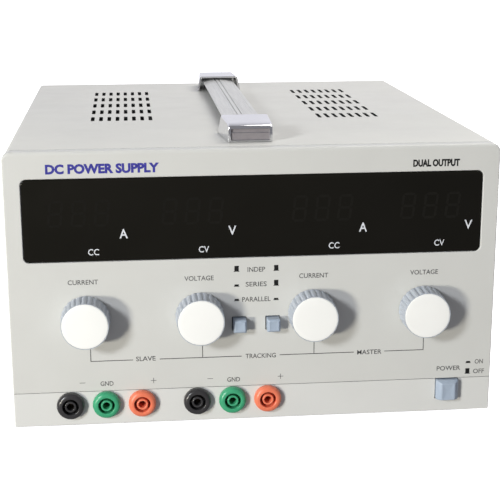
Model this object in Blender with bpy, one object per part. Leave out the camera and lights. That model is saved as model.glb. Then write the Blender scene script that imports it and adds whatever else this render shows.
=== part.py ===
"""Two-output bench power supply, built as an assembly of its real pieces.

Metres, +Z up. X runs to the right as the front is read, the front faces -Y.
The world origin is the middle of the footprint, on the surface that it stands on.
Below the empty "case_origin", y = 0 is the front face of the fascia and z = 0 the underside of the case.
"""
import math

import bmesh
import bpy
from mathutils import Matrix, Vector

MM = 0.001

# --- Driving dimensions ---------------------------------------------------------------------------
CASE_W = 260.0 * MM           # over the bezel
CASE_H = 149.2 * MM           # over the bezel, without feet
COVER_END_Y = 289.0 * MM      # rear edge of the top cover
FOOT_H = 10.0 * MM
GAP = 0.3 * MM                # between pieces that touch

BEZEL_DEPTH = 7.0 * MM
BEZEL_RIM = 2.8 * MM          # wall of the rim
FACE_T = 3.0 * MM             # wall of the front face
CORNER_R = 4.5 * MM           # upper corners
LOW_CORNER_R = 0.8 * MM       # lower corners
EDGE_R = 1.8 * MM
SEAM_Z = 19.3 * MM            # joint between the fascia and the terminal strip

COVER_W = 257.4 * MM
COVER_TOP_Z = CASE_H          # flush with the bezel
SHEET = 1.0 * MM              # cover and chassis sheet
BEND_R = 2.5 * MM

WINDOW_W = 241.6 * MM
WINDOW_LOW_Z = 91.2 * MM
WINDOW_HIGH_Z = 134.8 * MM
WINDOW_R = 3.0 * MM

SUBPANEL_Y = FACE_T + GAP
SUBPANEL_T = 1.5 * MM

KNOB_X = (-90.3 * MM, -30.1 * MM, 30.1 * MM, 90.3 * MM)
KNOB_NAMES = ("slave_current", "slave_voltage", "master_current", "master_voltage")
KNOB_Z = 59.7 * MM
KNOB_BASE_R = 13.3 * MM       # the skirt tapers from here
KNOB_FRONT_R = 12.8 * MM      # to here
DISC_R = 12.1 * MM            # insert in the front of the knob
KNOB_FRONT_Y = -13.6 * MM
SHAFT_R = 3.0 * MM
BUSHING_R = 4.6 * MM
SHAFT_BACK_Y = 7.0 * MM
RUNNING_FIT = 0.08 * MM       # between a shaft and its bushing

BUTTON_MARGIN = 0.4 * MM      # between a button and its opening
PLUNGER = 3.4 * MM            # square rod behind each button
PLUNGER_END_Y = 12.0 * MM
SWITCH_LENGTH = 18.0 * MM

TRACK_X = 9.0 * MM
TRACK_Z = 54.6 * MM
TRACK_SIZE = 7.0 * MM
TRACK_OUT = 6.5 * MM
TRACK_CHAMFER = 0.9 * MM
TRACK_STROKE = 3.5 * MM

POWER_X = 105.5 * MM
POWER_Z = 13.3 * MM
POWER_W = 12.3 * MM
POWER_H = 11.3 * MM
POWER_OUT = 4.7 * MM
POWER_STROKE = 4.0 * MM
POWER_CHAMFERS = (2.3 * MM, 1.3 * MM, 0.6 * MM)      # sides, top, bottom

TERMINAL_PITCH = 19.1 * MM
TERMINAL_Z = 12.0 * MM
TERMINAL_FIRST_X = (-99.8 * MM, -32.0 * MM)
TERMINAL_R = 7.4 * MM
TERMINAL_OUT = 4.0 * MM
TERMINAL_SHANK_R = 4.9 * MM
OUTPUT_NAMES = ("slave", "master")
POLE_NAMES = ("negative", "ground", "positive")

COVER_SHIFT_X = -0.8 * MM     # the handle and the slots sit a little left of the middle

HANDLE_CAP_Y = (19.0 * MM, 275.0 * MM)
HANDLE_CAP_LENGTH = 34.0 * MM
HANDLE_CAP_W = 23.6 * MM      # at the end face
HANDLE_CAP_FLARE = 3.2 * MM   # spread of each side at the foot of the mouth
HANDLE_ROOF_FLARE = 1.2 * MM  # spread of each side at the roof of the mouth
HANDLE_CAP_H = 10.0 * MM
HANDLE_FRONT_H = 8.4 * MM     # height of the cap's end face
STRAP_W = 21.2 * MM
STRAP_LOW = 4.7 * MM          # above the cover
STRAP_T = 3.0 * MM

VENT_COLUMNS = 8
VENT_ROWS = 5
VENT_INNER_X = 51.0 * MM
VENT_PITCH_X = 4.9 * MM
VENT_FIRST_Y = 113.0 * MM
VENT_PITCH_Y = 29.6 * MM
VENT_SLOT = (2.2 * MM, 17.0 * MM)

REAR_PANEL_Y = 285.5 * MM
REAR_PANEL_T = 1.5 * MM
SINK_W = 100.0 * MM
SINK_X = 64.0 * MM
SINK_LOW_Z = 38.0 * MM
SINK_H = 104.0 * MM
SINK_BASE = 5.0 * MM
SINK_DEPTH = 28.0 * MM
SINK_FINS = 11
SINK_FIN_T = 2.2 * MM

INLET_X = -84.0 * MM
INLET_Z = 19.5 * MM
INLET_BODY_W = 27.0 * MM
INLET_BODY_H = 31.0 * MM
INLET_FLANGE = (48.0 * MM, 34.0 * MM, 3.0 * MM)
DRAWER = (20.0 * MM, 6.0 * MM, 17.0 * MM)       # fuse drawer: width, height, depth
DRAWER_Z = -11.0 * MM                           # from the inlet's middle

BOARD_Z = 8.0 * MM
BOARD_LOW = (-8.0 * MM, 50.0 * MM)
BOARD_HIGH = (118.0 * MM, 262.0 * MM)
BOARD_T = 1.6 * MM

FOOT_X = 104.0 * MM
FOOT_Y = (38.0 * MM, 252.0 * MM)

REAR_MOST_Y = REAR_PANEL_Y + REAR_PANEL_T + GAP + SINK_DEPTH
FASCIA_Y = -(REAR_MOST_Y + KNOB_FRONT_Y) / 2     # world y of the front face, so the depth is centred


# --- Small tools ----------------------------------------------------------------------------------
def clear_scene():
    for old in list(bpy.data.objects):
        bpy.data.objects.remove(old, do_unlink=True)


def make_material(name, colour, roughness, metallic=0.0):
    material = bpy.data.materials.new(name)
    material.use_nodes = True
    shader = material.node_tree.nodes["Principled BSDF"]
    shader.inputs["Base Color"].default_value = (*colour, 1.0)
    shader.inputs["Roughness"].default_value = roughness
    shader.inputs["Metallic"].default_value = metallic
    return material


def make_empty(name, location, parent=None):
    empty = bpy.data.objects.new(name, None)
    empty.empty_display_size = 0.01
    empty.location = location
    empty.parent = parent
    bpy.context.collection.objects.link(empty)
    return empty


def to_mesh(name, shape, smooth=False):
    """Turn a bmesh into a mesh whose faces point out."""
    bmesh.ops.recalc_face_normals(shape, faces=shape.faces)
    mesh = bpy.data.meshes.new(name)
    shape.to_mesh(mesh)
    shape.free()
    if smooth:
        mesh.shade_smooth()
        mesh.set_sharp_from_angle(angle=math.radians(35))
    return mesh


def place(name, mesh, material, parent, location=(0, 0, 0)):
    if not mesh.materials:
        mesh.materials.append(material)
    piece = bpy.data.objects.new(name, mesh)
    piece.location = location
    piece.parent = parent
    bpy.context.collection.objects.link(piece)
    return piece


def boolean(target, name, shape, parent, operation="DIFFERENCE"):
    """Combine target with the closed shapes in a bmesh, held by a hidden wire object."""
    cutter = place(name, to_mesh(name, shape), CUTTER, parent)
    cutter.hide_render = True
    cutter.display_type = "WIRE"
    step = target.modifiers.new(name, "BOOLEAN")
    step.operation = operation
    step.solver = "EXACT"
    step.object = cutter
    return cutter


def add_block(shape, low, high):
    """Add a box between two opposite corners."""
    low, high = Vector(low), Vector(high)
    size = high - low
    matrix = Matrix.Translation((low + high) / 2) @ Matrix.Diagonal((*size, 1.0))
    bmesh.ops.create_cube(shape, size=1.0, matrix=matrix)


def block(low, high):
    shape = bmesh.new()
    add_block(shape, low, high)
    return shape


def add_prism(shape, outline, start, length, axis="Y"):
    """Add an outline of (a, b) points swept along an axis: (x, z) for Y, (x, y) for Z, (y, z) for X."""
    def corner(a, b):
        return {"Y": (a, start, b), "Z": (a, b, start), "X": (start, a, b)}[axis]
    face = shape.faces.new([shape.verts.new(corner(a, b)) for a, b in outline])
    way = {"Y": (0, length, 0), "Z": (0, 0, length), "X": (length, 0, 0)}[axis]
    swept = bmesh.ops.extrude_face_region(shape, geom=[face], use_keep_orig=True)
    moved = [item for item in swept["geom"] if isinstance(item, bmesh.types.BMVert)]
    bmesh.ops.translate(shape, verts=moved, vec=way)


def arc(centre, radius, start_deg, end_deg, steps):
    """Points along an arc, both ends included."""
    angles = [math.radians(start_deg + (end_deg - start_deg) * i / steps) for i in range(steps + 1)]
    return [(centre[0] + radius * math.cos(a), centre[1] + radius * math.sin(a)) for a in angles]


def rounded_rectangle(low, high, radius, steps=3, low_radius=None):
    """Outline of a rectangle with round corners, anticlockwise; the lower two may have their own radius."""
    (x0, z0), (x1, z1) = low, high
    base = low_radius or radius
    corners = [((x1 - base, z0 + base), base, -90), ((x1 - radius, z1 - radius), radius, 0),
               ((x0 + radius, z1 - radius), radius, 90), ((x0 + base, z0 + base), base, 180)]
    return [point for centre, size, turn in corners for point in arc(centre, size, turn, turn + 90, steps)]


def circle(centre, radius, sides=16):
    return arc(centre, radius, 0, 360 - 360 / sides, sides - 1)


def turned(profile, sides=28, axis="Y"):
    """Spin a closed profile of (radius, position along the axis) points round that axis."""
    shape = bmesh.new()
    verts = [shape.verts.new((r, p, 0) if axis == "Y" else (r, 0, p)) for r, p in profile]
    edges = [shape.edges.new((a, b)) for a, b in zip(verts, verts[1:] + verts[:1])
             if a.co.x > 0 or b.co.x > 0]
    bmesh.ops.spin(shape, geom=verts + edges, cent=(0, 0, 0), angle=math.tau, steps=sides,
                   axis=(0, 1, 0) if axis == "Y" else (0, 0, 1))
    bmesh.ops.remove_doubles(shape, verts=shape.verts, dist=0.001 * MM)
    return shape


def add_loft(shape, rings):
    """Skin a row of rings with equal numbers of points, closed by a face at each end."""
    made = [[shape.verts.new(point) for point in ring] for ring in rings]
    for near, far in zip(made, made[1:]):
        for index, vert in enumerate(near):
            after = (index + 1) % len(near)
            shape.faces.new((vert, near[after], far[after], far[index]))
    shape.faces.new(made[0])
    shape.faces.new(made[-1])
    bmesh.ops.recalc_face_normals(shape, faces=shape.faces)
    return shape


# --- Case -----------------------------------------------------------------------------------------
def bezel_blank():
    """The full moulded front: a shallow tray with round corners and a round front edge."""
    half = CASE_W / 2
    shape = bmesh.new()
    rings = []
    for inset, y in arc((EDGE_R, EDGE_R), EDGE_R, 270, 180, 3) + [(0, BEZEL_DEPTH)]:
        outline = rounded_rectangle((inset - half, inset), (half - inset, CASE_H - inset),
                                    CORNER_R - inset, 4, max(LOW_CORNER_R - inset, 0.1 * MM))
        rings.append([(x, y, z) for x, z in outline])
    add_loft(shape, rings)
    return shape


def bezel_hollow():
    """The space behind the front face."""
    half = CASE_W / 2 - BEZEL_RIM
    shape = bmesh.new()
    add_prism(shape, rounded_rectangle((-half, BEZEL_RIM), (half, CASE_H - BEZEL_RIM), 2 * MM, 2),
              FACE_T, BEZEL_DEPTH)
    return shape


def make_fascia(root):
    """Upper part of the front, with the openings for the window, the pots and the tracking buttons."""
    fascia = place("front_fascia", to_mesh("front_fascia", bezel_blank(), smooth=True), CASE_PLASTIC, root)
    boolean(fascia, "fascia_hollow", bezel_hollow(), root)
    side = CASE_W
    boolean(fascia, "fascia_trim", block((-side, -side, -side), (side, side, SEAM_Z + GAP / 2)), root)
    openings = bmesh.new()
    half = WINDOW_W / 2 + GAP
    add_prism(openings, rounded_rectangle((-half, WINDOW_LOW_Z - GAP), (half, WINDOW_HIGH_Z + GAP),
                                          WINDOW_R), -FACE_T, 3 * FACE_T)
    for x in KNOB_X:
        add_prism(openings, circle((x, KNOB_Z), BUSHING_R + GAP), -FACE_T, 3 * FACE_T)
    for x in (-TRACK_X, TRACK_X):
        half = TRACK_SIZE / 2 + BUTTON_MARGIN
        add_block(openings, (x - half, -FACE_T, TRACK_Z - half), (x + half, 2 * FACE_T, TRACK_Z + half))
    boolean(fascia, "fascia_openings", openings, root)


def make_terminal_strip(root):
    """Lower strip of the front, which carries the six terminals and the power button."""
    strip = place("terminal_strip", to_mesh("terminal_strip", bezel_blank(), smooth=True),
                  CASE_PLASTIC, root)
    boolean(strip, "strip_hollow", bezel_hollow(), root)
    side = CASE_W
    boolean(strip, "strip_trim", block((-side, -side, SEAM_Z - GAP / 2), (side, side, side)), root)
    openings = bmesh.new()
    for x, _output, _pole in terminal_places():
        add_prism(openings, circle((x, TERMINAL_Z), TERMINAL_SHANK_R + GAP), -FACE_T, 3 * FACE_T)
    half_w, half_h = POWER_W / 2 + GAP, POWER_H / 2 + GAP      # open to the strip's upper edge
    add_block(openings, (POWER_X - half_w, -FACE_T, POWER_Z - half_h),
              (POWER_X + half_w, 2 * FACE_T, SEAM_Z))
    boolean(strip, "strip_openings", openings, root)


def make_window(root):
    """Smoked acrylic in front of the four displays, 0.5 mm below the face."""
    half = WINDOW_W / 2
    shape = bmesh.new()
    add_prism(shape, rounded_rectangle((-half, WINDOW_LOW_Z), (half, WINDOW_HIGH_Z), WINDOW_R, 4),
              0.5 * MM, 2.5 * MM)
    place("display_window", to_mesh("display_window", shape), SMOKED_ACRYLIC, root)


def make_subpanel(root):
    """Sheet-metal panel inside the bezel, which carries the pots, switches and terminals."""
    half, low = CASE_W / 2 - BEZEL_RIM - GAP, BEZEL_RIM + GAP
    shape = bmesh.new()
    add_prism(shape, rounded_rectangle((-half, low), (half, CASE_H - low), 2 * MM, 2),
              SUBPANEL_Y, SUBPANEL_T)
    panel = place("front_subpanel", to_mesh("front_subpanel", shape), ZINC_SHEET, root)
    openings = bmesh.new()
    start, depth = SUBPANEL_Y - 1 * MM, SUBPANEL_T + 2 * MM
    margin = 4 * MM
    add_block(openings, (-WINDOW_W / 2 + margin, start, WINDOW_LOW_Z + margin),
              (WINDOW_W / 2 - margin, start + depth, WINDOW_HIGH_Z - margin))
    for x in KNOB_X:
        add_prism(openings, circle((x, KNOB_Z), BUSHING_R + GAP), start, depth)
    for x in (-TRACK_X, TRACK_X):
        half = TRACK_SIZE / 2 + BUTTON_MARGIN
        add_block(openings, (x - half, start, TRACK_Z - half), (x + half, start + depth, TRACK_Z + half))
    for x, _output, _pole in terminal_places():
        add_prism(openings, circle((x, TERMINAL_Z), TERMINAL_SHANK_R + GAP), start, depth)
    half_w, half_h = POWER_W / 2 + GAP, POWER_H / 2 + GAP
    add_block(openings, (POWER_X - half_w, start, POWER_Z - half_h),
              (POWER_X + half_w, start + depth, POWER_Z + half_h))
    boolean(panel, "subpanel_openings", openings, root)


def cover_outline():
    """Cross-section of the folded cover, seen from the front: outside up and over, inside back."""
    half = COVER_W / 2
    low = 0.0
    outer = [(half, low)] + arc((half - BEND_R, COVER_TOP_Z - BEND_R), BEND_R, 0, 90, 4)
    outer += arc((-half + BEND_R, COVER_TOP_Z - BEND_R), BEND_R, 90, 180, 4) + [(-half, low)]
    inner_r = BEND_R - SHEET
    inner = [(-half + SHEET, low)]
    inner += arc((-half + BEND_R, COVER_TOP_Z - BEND_R), inner_r, 180, 90, 4)
    inner += arc((half - BEND_R, COVER_TOP_Z - BEND_R), inner_r, 90, 0, 4) + [(half - SHEET, low)]
    return outer + inner


def make_cover(root):
    """Folded steel cover over the top and both sides, with two fields of slots."""
    shape = bmesh.new()
    start = BEZEL_DEPTH + GAP
    add_prism(shape, cover_outline(), start, COVER_END_Y - start)
    cover = place("top_cover", to_mesh("top_cover", shape), PAINTED_STEEL, root)
    slots = bmesh.new()
    half_w, half_l = VENT_SLOT[0] / 2, VENT_SLOT[1] / 2
    for side in (-1, 1):
        for column in range(VENT_COLUMNS):
            for row in range(VENT_ROWS):
                x = COVER_SHIFT_X + side * (VENT_INNER_X + column * VENT_PITCH_X)
                y = VENT_FIRST_Y + row * VENT_PITCH_Y
                outline = (arc((x, y + half_l - half_w), half_w, 0, 180, 2)
                           + arc((x, y - half_l + half_w), half_w, 180, 360, 2))
                add_prism(slots, outline, COVER_TOP_Z - 2 * SHEET, 3 * SHEET, "Z")
    boolean(cover, "cover_slots", slots, root)


def make_chassis(root):
    """Base tray: floor, two side upstands inside the cover, and four posts for the main board."""
    half = COVER_W / 2 - SHEET - GAP
    front, back, upstand = BEZEL_DEPTH + GAP, REAR_PANEL_Y - GAP, 24 * MM
    outline = [(-half, 0), (half, 0), (half, upstand), (half - SHEET, upstand), (half - SHEET, SHEET),
               (-half + SHEET, SHEET), (-half + SHEET, upstand), (-half, upstand)]
    shape = bmesh.new()
    add_prism(shape, outline, front, back - front)
    chassis = place("bottom_chassis", to_mesh("bottom_chassis", shape), ZINC_SHEET, root)
    posts = bmesh.new()
    for x in (BOARD_LOW[0] + 8 * MM, BOARD_HIGH[0] - 8 * MM):
        for y in (BOARD_LOW[1] + 8 * MM, BOARD_HIGH[1] - 8 * MM):
            add_prism(posts, circle((x, y), 3 * MM, 12), SHEET / 2, BOARD_Z - GAP - SHEET / 2, "Z")
    boolean(chassis, "chassis_posts", posts, root, "UNION")
    slots = bmesh.new()
    for x in (-96 * MM, -84 * MM, -72 * MM, -60 * MM, 60 * MM, 72 * MM, 84 * MM, 96 * MM):
        for y in (90 * MM, 190 * MM):
            outline = rounded_rectangle((x - 2 * MM, y - 20 * MM), (x + 2 * MM, y + 20 * MM), 1.2 * MM, 1)
            add_prism(slots, outline, -SHEET, 3 * SHEET, "Z")
    boolean(chassis, "chassis_slots", slots, root)


def make_rear_panel(root):
    half = COVER_W / 2 - SHEET - GAP
    shape = bmesh.new()
    add_prism(shape, rounded_rectangle((-half, 0), (half, COVER_TOP_Z - SHEET - GAP), 2 * MM, 2),
              REAR_PANEL_Y, REAR_PANEL_T)
    panel = place("rear_panel", to_mesh("rear_panel", shape), PAINTED_STEEL, root)
    hole = block((INLET_X - INLET_BODY_W / 2 - GAP, REAR_PANEL_Y - 1 * MM, INLET_Z - INLET_BODY_H / 2 - GAP),
                 (INLET_X + INLET_BODY_W / 2 + GAP, REAR_PANEL_Y + 3 * MM, INLET_Z + INLET_BODY_H / 2 + GAP))
    boolean(panel, "rear_panel_opening", hole, root)


def make_feet(root):
    """Four round rubber feet, slightly tapered, with a dimple where the screw goes in."""
    profile = [(0, -GAP), (9.0 * MM, -GAP), (8.2 * MM, -FOOT_H + 0.8 * MM), (7.4 * MM, -FOOT_H),
               (3.6 * MM, -FOOT_H), (3.6 * MM, -4 * MM), (0, -4 * MM)]
    mesh = to_mesh("foot", turned(profile, 20, "Z"), smooth=True)
    for y, depth in zip(FOOT_Y, ("front", "rear")):
        for x, side in ((-FOOT_X, "left"), (FOOT_X, "right")):
            place(f"foot_{depth}_{side}", mesh, BLACK_RUBBER, root, (x, y, 0))


# --- Handle ---------------------------------------------------------------------------------------
def make_handle(root):
    """Strap held at each end in a plated cap. The strap's origin is on its line of travel."""
    half, length = HANDLE_CAP_W / 2, HANDLE_CAP_LENGTH
    base = COVER_TOP_Z + GAP
    roof = 1.0 * MM
    for index, (y, name) in enumerate(zip(HANDLE_CAP_Y, ("front", "rear"))):
        way = 1 if index == 0 else -1             # from the cap's end towards its mouth
        shape = bmesh.new()
        rings = []
        for along, height in ((0, HANDLE_FRONT_H), (1.2 * MM, HANDLE_FRONT_H + 0.8 * MM),
                              (6 * MM, HANDLE_CAP_H), (length, HANDLE_CAP_H)):
            foot, top = half + HANDLE_CAP_FLARE * along / length, COVER_TOP_Z + height
            brow = half + HANDLE_ROOF_FLARE * along / length
            rings.append([(COVER_SHIFT_X + x, y + way * along, z) for x, z in
                          ((-foot, base), (foot, base), (brow, top), (-brow, top))])
        add_loft(shape, rings)
        cap = place(f"handle_cap_{name}", to_mesh(f"handle_cap_{name}", shape), CHROME, root)
        inside = STRAP_W / 2 + GAP
        far = y + way * (length + 1 * MM)
        for near, low, part in ((y + way * 3.5 * MM, COVER_TOP_Z + STRAP_LOW - GAP, "pocket"),
                                (y + way * 15 * MM, COVER_TOP_Z, "mouth")):
            space = block((COVER_SHIFT_X - inside, min(near, far), low),
                          (COVER_SHIFT_X + inside, max(near, far), COVER_TOP_Z + HANDLE_CAP_H - roof))
            boolean(cap, f"handle_{part}_{name}", space, root)

    middle = (HANDLE_CAP_Y[0] + HANDLE_CAP_Y[1]) / 2
    lift_axis = make_empty("handle_lift_axis", (COVER_SHIFT_X, middle, COVER_TOP_Z + STRAP_LOW), root)
    reach = (HANDLE_CAP_Y[1] - HANDLE_CAP_Y[0]) / 2 - 4.5 * MM
    groove, depth = 0.5 * MM, 0.6 * MM
    top, edge, chamfer = STRAP_T, STRAP_W / 2, 0.8 * MM
    section = [(-edge, 0), (edge, 0), (edge, top - chamfer), (edge - chamfer, top)]
    for x in (1.2 * MM, -1.2 * MM):
        section += [(x + groove, top), (x + groove, top - depth), (x - groove, top - depth),
                    (x - groove, top)]
    section += [(-edge + chamfer, top), (-edge, top - chamfer)]
    shape = bmesh.new()
    add_prism(shape, section, -reach, 2 * reach)
    place("handle_strap", to_mesh("handle_strap", shape), SILVER_PLASTIC, lift_axis)


# --- Controls -------------------------------------------------------------------------------------
def knob_body_mesh():
    """Skirt with a shallow front recess for the disc and a blind bore for the shaft."""
    back, front = -0.8 * MM, KNOB_FRONT_Y + 0.4 * MM
    bore, recess, depth = SHAFT_R + GAP, DISC_R + GAP, 1.5 * MM
    profile = [(bore, back), (KNOB_BASE_R, back), (KNOB_FRONT_R, front + 0.4 * MM),
               (KNOB_FRONT_R - 0.3 * MM, front), (recess, front), (recess, front + depth),
               (0, front + depth), (0, front + 2 * depth), (bore, front + 2 * depth)]
    return to_mesh("knob_body", turned(profile, 28), smooth=True)


def knob_disc_mesh():
    front, edge = KNOB_FRONT_Y, 0.4 * MM
    profile = [(0, front + 1.6 * MM), (DISC_R, front + 1.6 * MM), (DISC_R, front + edge),
               (DISC_R - edge, front), (0, front)]
    return to_mesh("knob_disc", turned(profile, 28), smooth=True)


def shaft_mesh():
    profile = [(0, KNOB_FRONT_Y + 4.0 * MM), (SHAFT_R, KNOB_FRONT_Y + 4.0 * MM),
               (SHAFT_R, SHAFT_BACK_Y), (0, SHAFT_BACK_Y)]
    return to_mesh("shaft", turned(profile, 20), smooth=True)


def pot_mesh():
    """Potentiometer: threaded bushing through both panels, round can behind, blind bore for the shaft."""
    bore = SHAFT_R + RUNNING_FIT
    can_y = SUBPANEL_Y + SUBPANEL_T + GAP
    profile = [(bore, 0.3 * MM), (BUSHING_R, 0.3 * MM), (BUSHING_R, can_y), (11.5 * MM, can_y),
               (11.5 * MM, can_y + 11 * MM), (0, can_y + 11 * MM), (0, SHAFT_BACK_Y + 1 * MM),
               (bore, SHAFT_BACK_Y + 1 * MM)]
    return to_mesh("pot", turned(profile, 20), smooth=True)


def make_knobs(root):
    body, disc, shaft, pot = knob_body_mesh(), knob_disc_mesh(), shaft_mesh(), pot_mesh()
    for x, name in zip(KNOB_X, KNOB_NAMES):
        axis = make_empty(f"knob_axis_{name}", (x, 0, KNOB_Z), root)
        place(f"knob_{name}", body, KNOB_GREY, axis)
        place(f"knob_disc_{name}", disc, DISC_WHITE, axis)
        place(f"shaft_{name}", shaft, STEEL, axis)
        place(f"pot_{name}", pot, POT_GREY, root, (x, 0, KNOB_Z))


def button_shape(width, height, out, chamfers):
    """Square button with a chamfered front, and a plunger that runs back into its switch."""
    half_w, half_h, rod, back = width / 2, height / 2, PLUNGER / 2, 1.5 * MM
    side, top, bottom = chamfers
    shoulder = -out + max(chamfers)
    sections = [(rod, -rod, rod, PLUNGER_END_Y), (rod, -rod, rod, back), (half_w, -half_h, half_h, back),
                (half_w, -half_h, half_h, shoulder),
                (half_w - side, bottom - half_h, half_h - top, -out)]
    shape = bmesh.new()
    add_loft(shape, [[(-a, y, low), (a, y, low), (a, y, high), (-a, y, high)]
                     for a, low, high, y in sections])
    return shape


def make_switch(name, x, z, sizes, root):
    """A button on its line of travel, and a switch body with a square blind hole for its plunger."""
    width, height, out, chamfers, stroke, body_w = sizes
    axis = make_empty(f"{name}_axis", (x, 0, z), root)
    shape = button_shape(width, height, out, chamfers)
    place(f"{name}_button", to_mesh(f"{name}_button", shape), BUTTON_GREY, axis)
    front = PLUNGER_END_Y - 1.5 * MM
    half, hole = body_w / 2, PLUNGER / 2 + GAP
    body = block((-half, front, -half), (half, front + SWITCH_LENGTH, half))
    switch = place(f"{name}_switch", to_mesh(f"{name}_switch", body), BLACK_PLASTIC, root, (x, 0, z))
    pocket = block((-hole, front - 1 * MM, -hole), (hole, PLUNGER_END_Y + stroke + 1 * MM, hole))
    boolean(switch, f"{name}_switch_hole", pocket, root).location = (x, 0, z)


def make_buttons(root):
    track = (TRACK_SIZE, TRACK_SIZE, TRACK_OUT, (TRACK_CHAMFER,) * 3, TRACK_STROKE, 11 * MM)
    for x, side in ((-TRACK_X, "left"), (TRACK_X, "right")):
        make_switch(f"tracking_{side}", x, TRACK_Z, track, root)
    power = (POWER_W, POWER_H, POWER_OUT, POWER_CHAMFERS, POWER_STROKE, 16 * MM)
    make_switch("power", POWER_X, POWER_Z, power, root)


# --- Terminals ------------------------------------------------------------------------------------
def terminal_places():
    """Each terminal's x, output and pole, from left to right."""
    return [(first + pole * TERMINAL_PITCH, output, POLE_NAMES[pole])
            for first, output in zip(TERMINAL_FIRST_X, OUTPUT_NAMES) for pole in range(3)]


def terminal_mesh(name):
    """Shrouded 4 mm socket: round collar, annular well, central tube, and a shank through the panel."""
    front, well_end, wall_end, back = -TERMINAL_OUT, 4.5 * MM, 6.0 * MM, 15.0 * MM
    well_out, tube, hole, chamber = 4.35 * MM, 3.05 * MM, 2.05 * MM, 2.9 * MM
    collar = arc((TERMINAL_R - 1.3 * MM, front + 1.3 * MM), 1.3 * MM, 0, -90, 2)
    profile = [(hole, front + 0.4 * MM), (hole, wall_end), (chamber, wall_end), (chamber, back),
               (TERMINAL_SHANK_R, back), (TERMINAL_SHANK_R, -GAP), (TERMINAL_R, -GAP)]
    profile += collar
    profile += [(well_out, front), (well_out, well_end), (tube, well_end), (tube, front + 0.4 * MM)]
    return to_mesh(name, turned(profile, 20), smooth=True)


def contact_mesh():
    """Metal sleeve behind the insulating tube, with a solder pin at the back."""
    start, back = 6.0 * MM + GAP, 20.0 * MM
    profile = [(2.0 * MM, start), (2.6 * MM, start), (2.6 * MM, back - 3 * MM), (1.5 * MM, back - 3 * MM),
               (1.5 * MM, back), (0, back), (0, back - 5 * MM), (2.0 * MM, back - 5 * MM)]
    return to_mesh("contact", turned(profile, 16), smooth=True)


def make_terminals(root):
    meshes = {pole: terminal_mesh(f"terminal_{pole}") for pole in POLE_NAMES}
    colours = dict(zip(POLE_NAMES, (TERMINAL_BLACK, TERMINAL_GREEN, TERMINAL_RED)))
    contact = contact_mesh()
    for x, output, pole in terminal_places():
        place(f"terminal_{output}_{pole}", meshes[pole], colours[pole], root, (x, 0, TERMINAL_Z))
        place(f"contact_{output}_{pole}", contact, BRASS, root, (x, 0, TERMINAL_Z))


# --- Rear -----------------------------------------------------------------------------------------
def make_inlet(root):
    """Mains inlet with three blades in its well, and a fuse drawer under the well."""
    outer_y = REAR_PANEL_Y + REAR_PANEL_T + GAP
    flange_w, flange_h, flange_t = INLET_FLANGE
    shape = block((-flange_w / 2, outer_y, -flange_h / 2), (flange_w / 2, outer_y + flange_t, flange_h / 2))
    inlet = place("mains_inlet", to_mesh("mains_inlet", shape), BLACK_PLASTIC, root, (INLET_X, 0, INLET_Z))
    body = block((-INLET_BODY_W / 2, outer_y - 22 * MM, -INLET_BODY_H / 2),
                 (INLET_BODY_W / 2, outer_y + 1 * MM, INLET_BODY_H / 2))
    well_z, well_half, well_h, well_back = 4.5 * MM, 12.2 * MM, 8.2 * MM, outer_y - 14 * MM
    corner = 4.5 * MM
    outline = [(-well_half, well_z - well_h), (well_half, well_z - well_h),
               (well_half, well_z + well_h - corner), (well_half - corner, well_z + well_h),
               (-well_half + corner, well_z + well_h), (-well_half, well_z + well_h - corner)]
    well = bmesh.new()
    add_prism(well, outline, well_back, 30 * MM)
    blades = bmesh.new()
    for x, z in ((-7 * MM, -2 * MM), (0, 2 * MM), (7 * MM, -2 * MM)):
        add_block(blades, (x - 1 * MM, well_back - 2 * MM, well_z + z - 2 * MM),
                  (x + 1 * MM, outer_y - 2.5 * MM, well_z + z + 2 * MM))
    half_w, half_h, depth = DRAWER[0] / 2 + GAP, DRAWER[1] / 2 + GAP, DRAWER[2] + GAP
    slot = block((-half_w, outer_y + flange_t - depth, DRAWER_Z - half_h),
                 (half_w, outer_y + 9 * MM, DRAWER_Z + half_h))
    for name, tool, operation in (("inlet_body", body, "UNION"), ("inlet_well", well, "DIFFERENCE"),
                                  ("inlet_blades", blades, "UNION"), ("inlet_slot", slot, "DIFFERENCE")):
        boolean(inlet, name, tool, root, operation).location = (INLET_X, 0, INLET_Z)
    front = outer_y + flange_t + 0.8 * MM
    drawer_axis = make_empty("fuse_drawer_axis", (INLET_X, front, INLET_Z + DRAWER_Z), root)
    shape = bmesh.new()
    add_block(shape, (-DRAWER[0] / 2, -DRAWER[2], -DRAWER[1] / 2), (DRAWER[0] / 2, 0, DRAWER[1] / 2))
    drawer = place("fuse_drawer", to_mesh("fuse_drawer", shape), BLACK_PLASTIC, drawer_axis)
    bay = block((-8 * MM, -DRAWER[2] + 2 * MM, -1.8 * MM), (8 * MM, -3 * MM, DRAWER[1]))
    boolean(drawer, "fuse_bay", bay, drawer_axis)


def sink_outline():
    """Comb section of an extruded heat sink, seen from above: a base plate and straight fins."""
    half = SINK_W / 2
    tip, root_y = SINK_DEPTH, SINK_BASE
    step = (SINK_W - SINK_FIN_T) / (SINK_FINS - 1)
    outline = [(half, 0), (-half, 0)]
    for fin in range(SINK_FINS):
        left = -half + fin * step
        outline += [(left, root_y), (left, tip), (left + SINK_FIN_T, tip), (left + SINK_FIN_T, root_y)]
    return [point for point in outline if point not in ((-half, root_y), (half, root_y))]


def make_heat_sinks(root):
    shape = bmesh.new()
    add_prism(shape, sink_outline(), 0, SINK_H, "Z")
    mesh = to_mesh("heat_sink", shape)
    for x, side in ((-SINK_X, "left"), (SINK_X, "right")):
        place(f"heat_sink_{side}", mesh, BLACK_ANODISED, root,
              (x, REAR_PANEL_Y + REAR_PANEL_T + GAP, SINK_LOW_Z))


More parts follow.
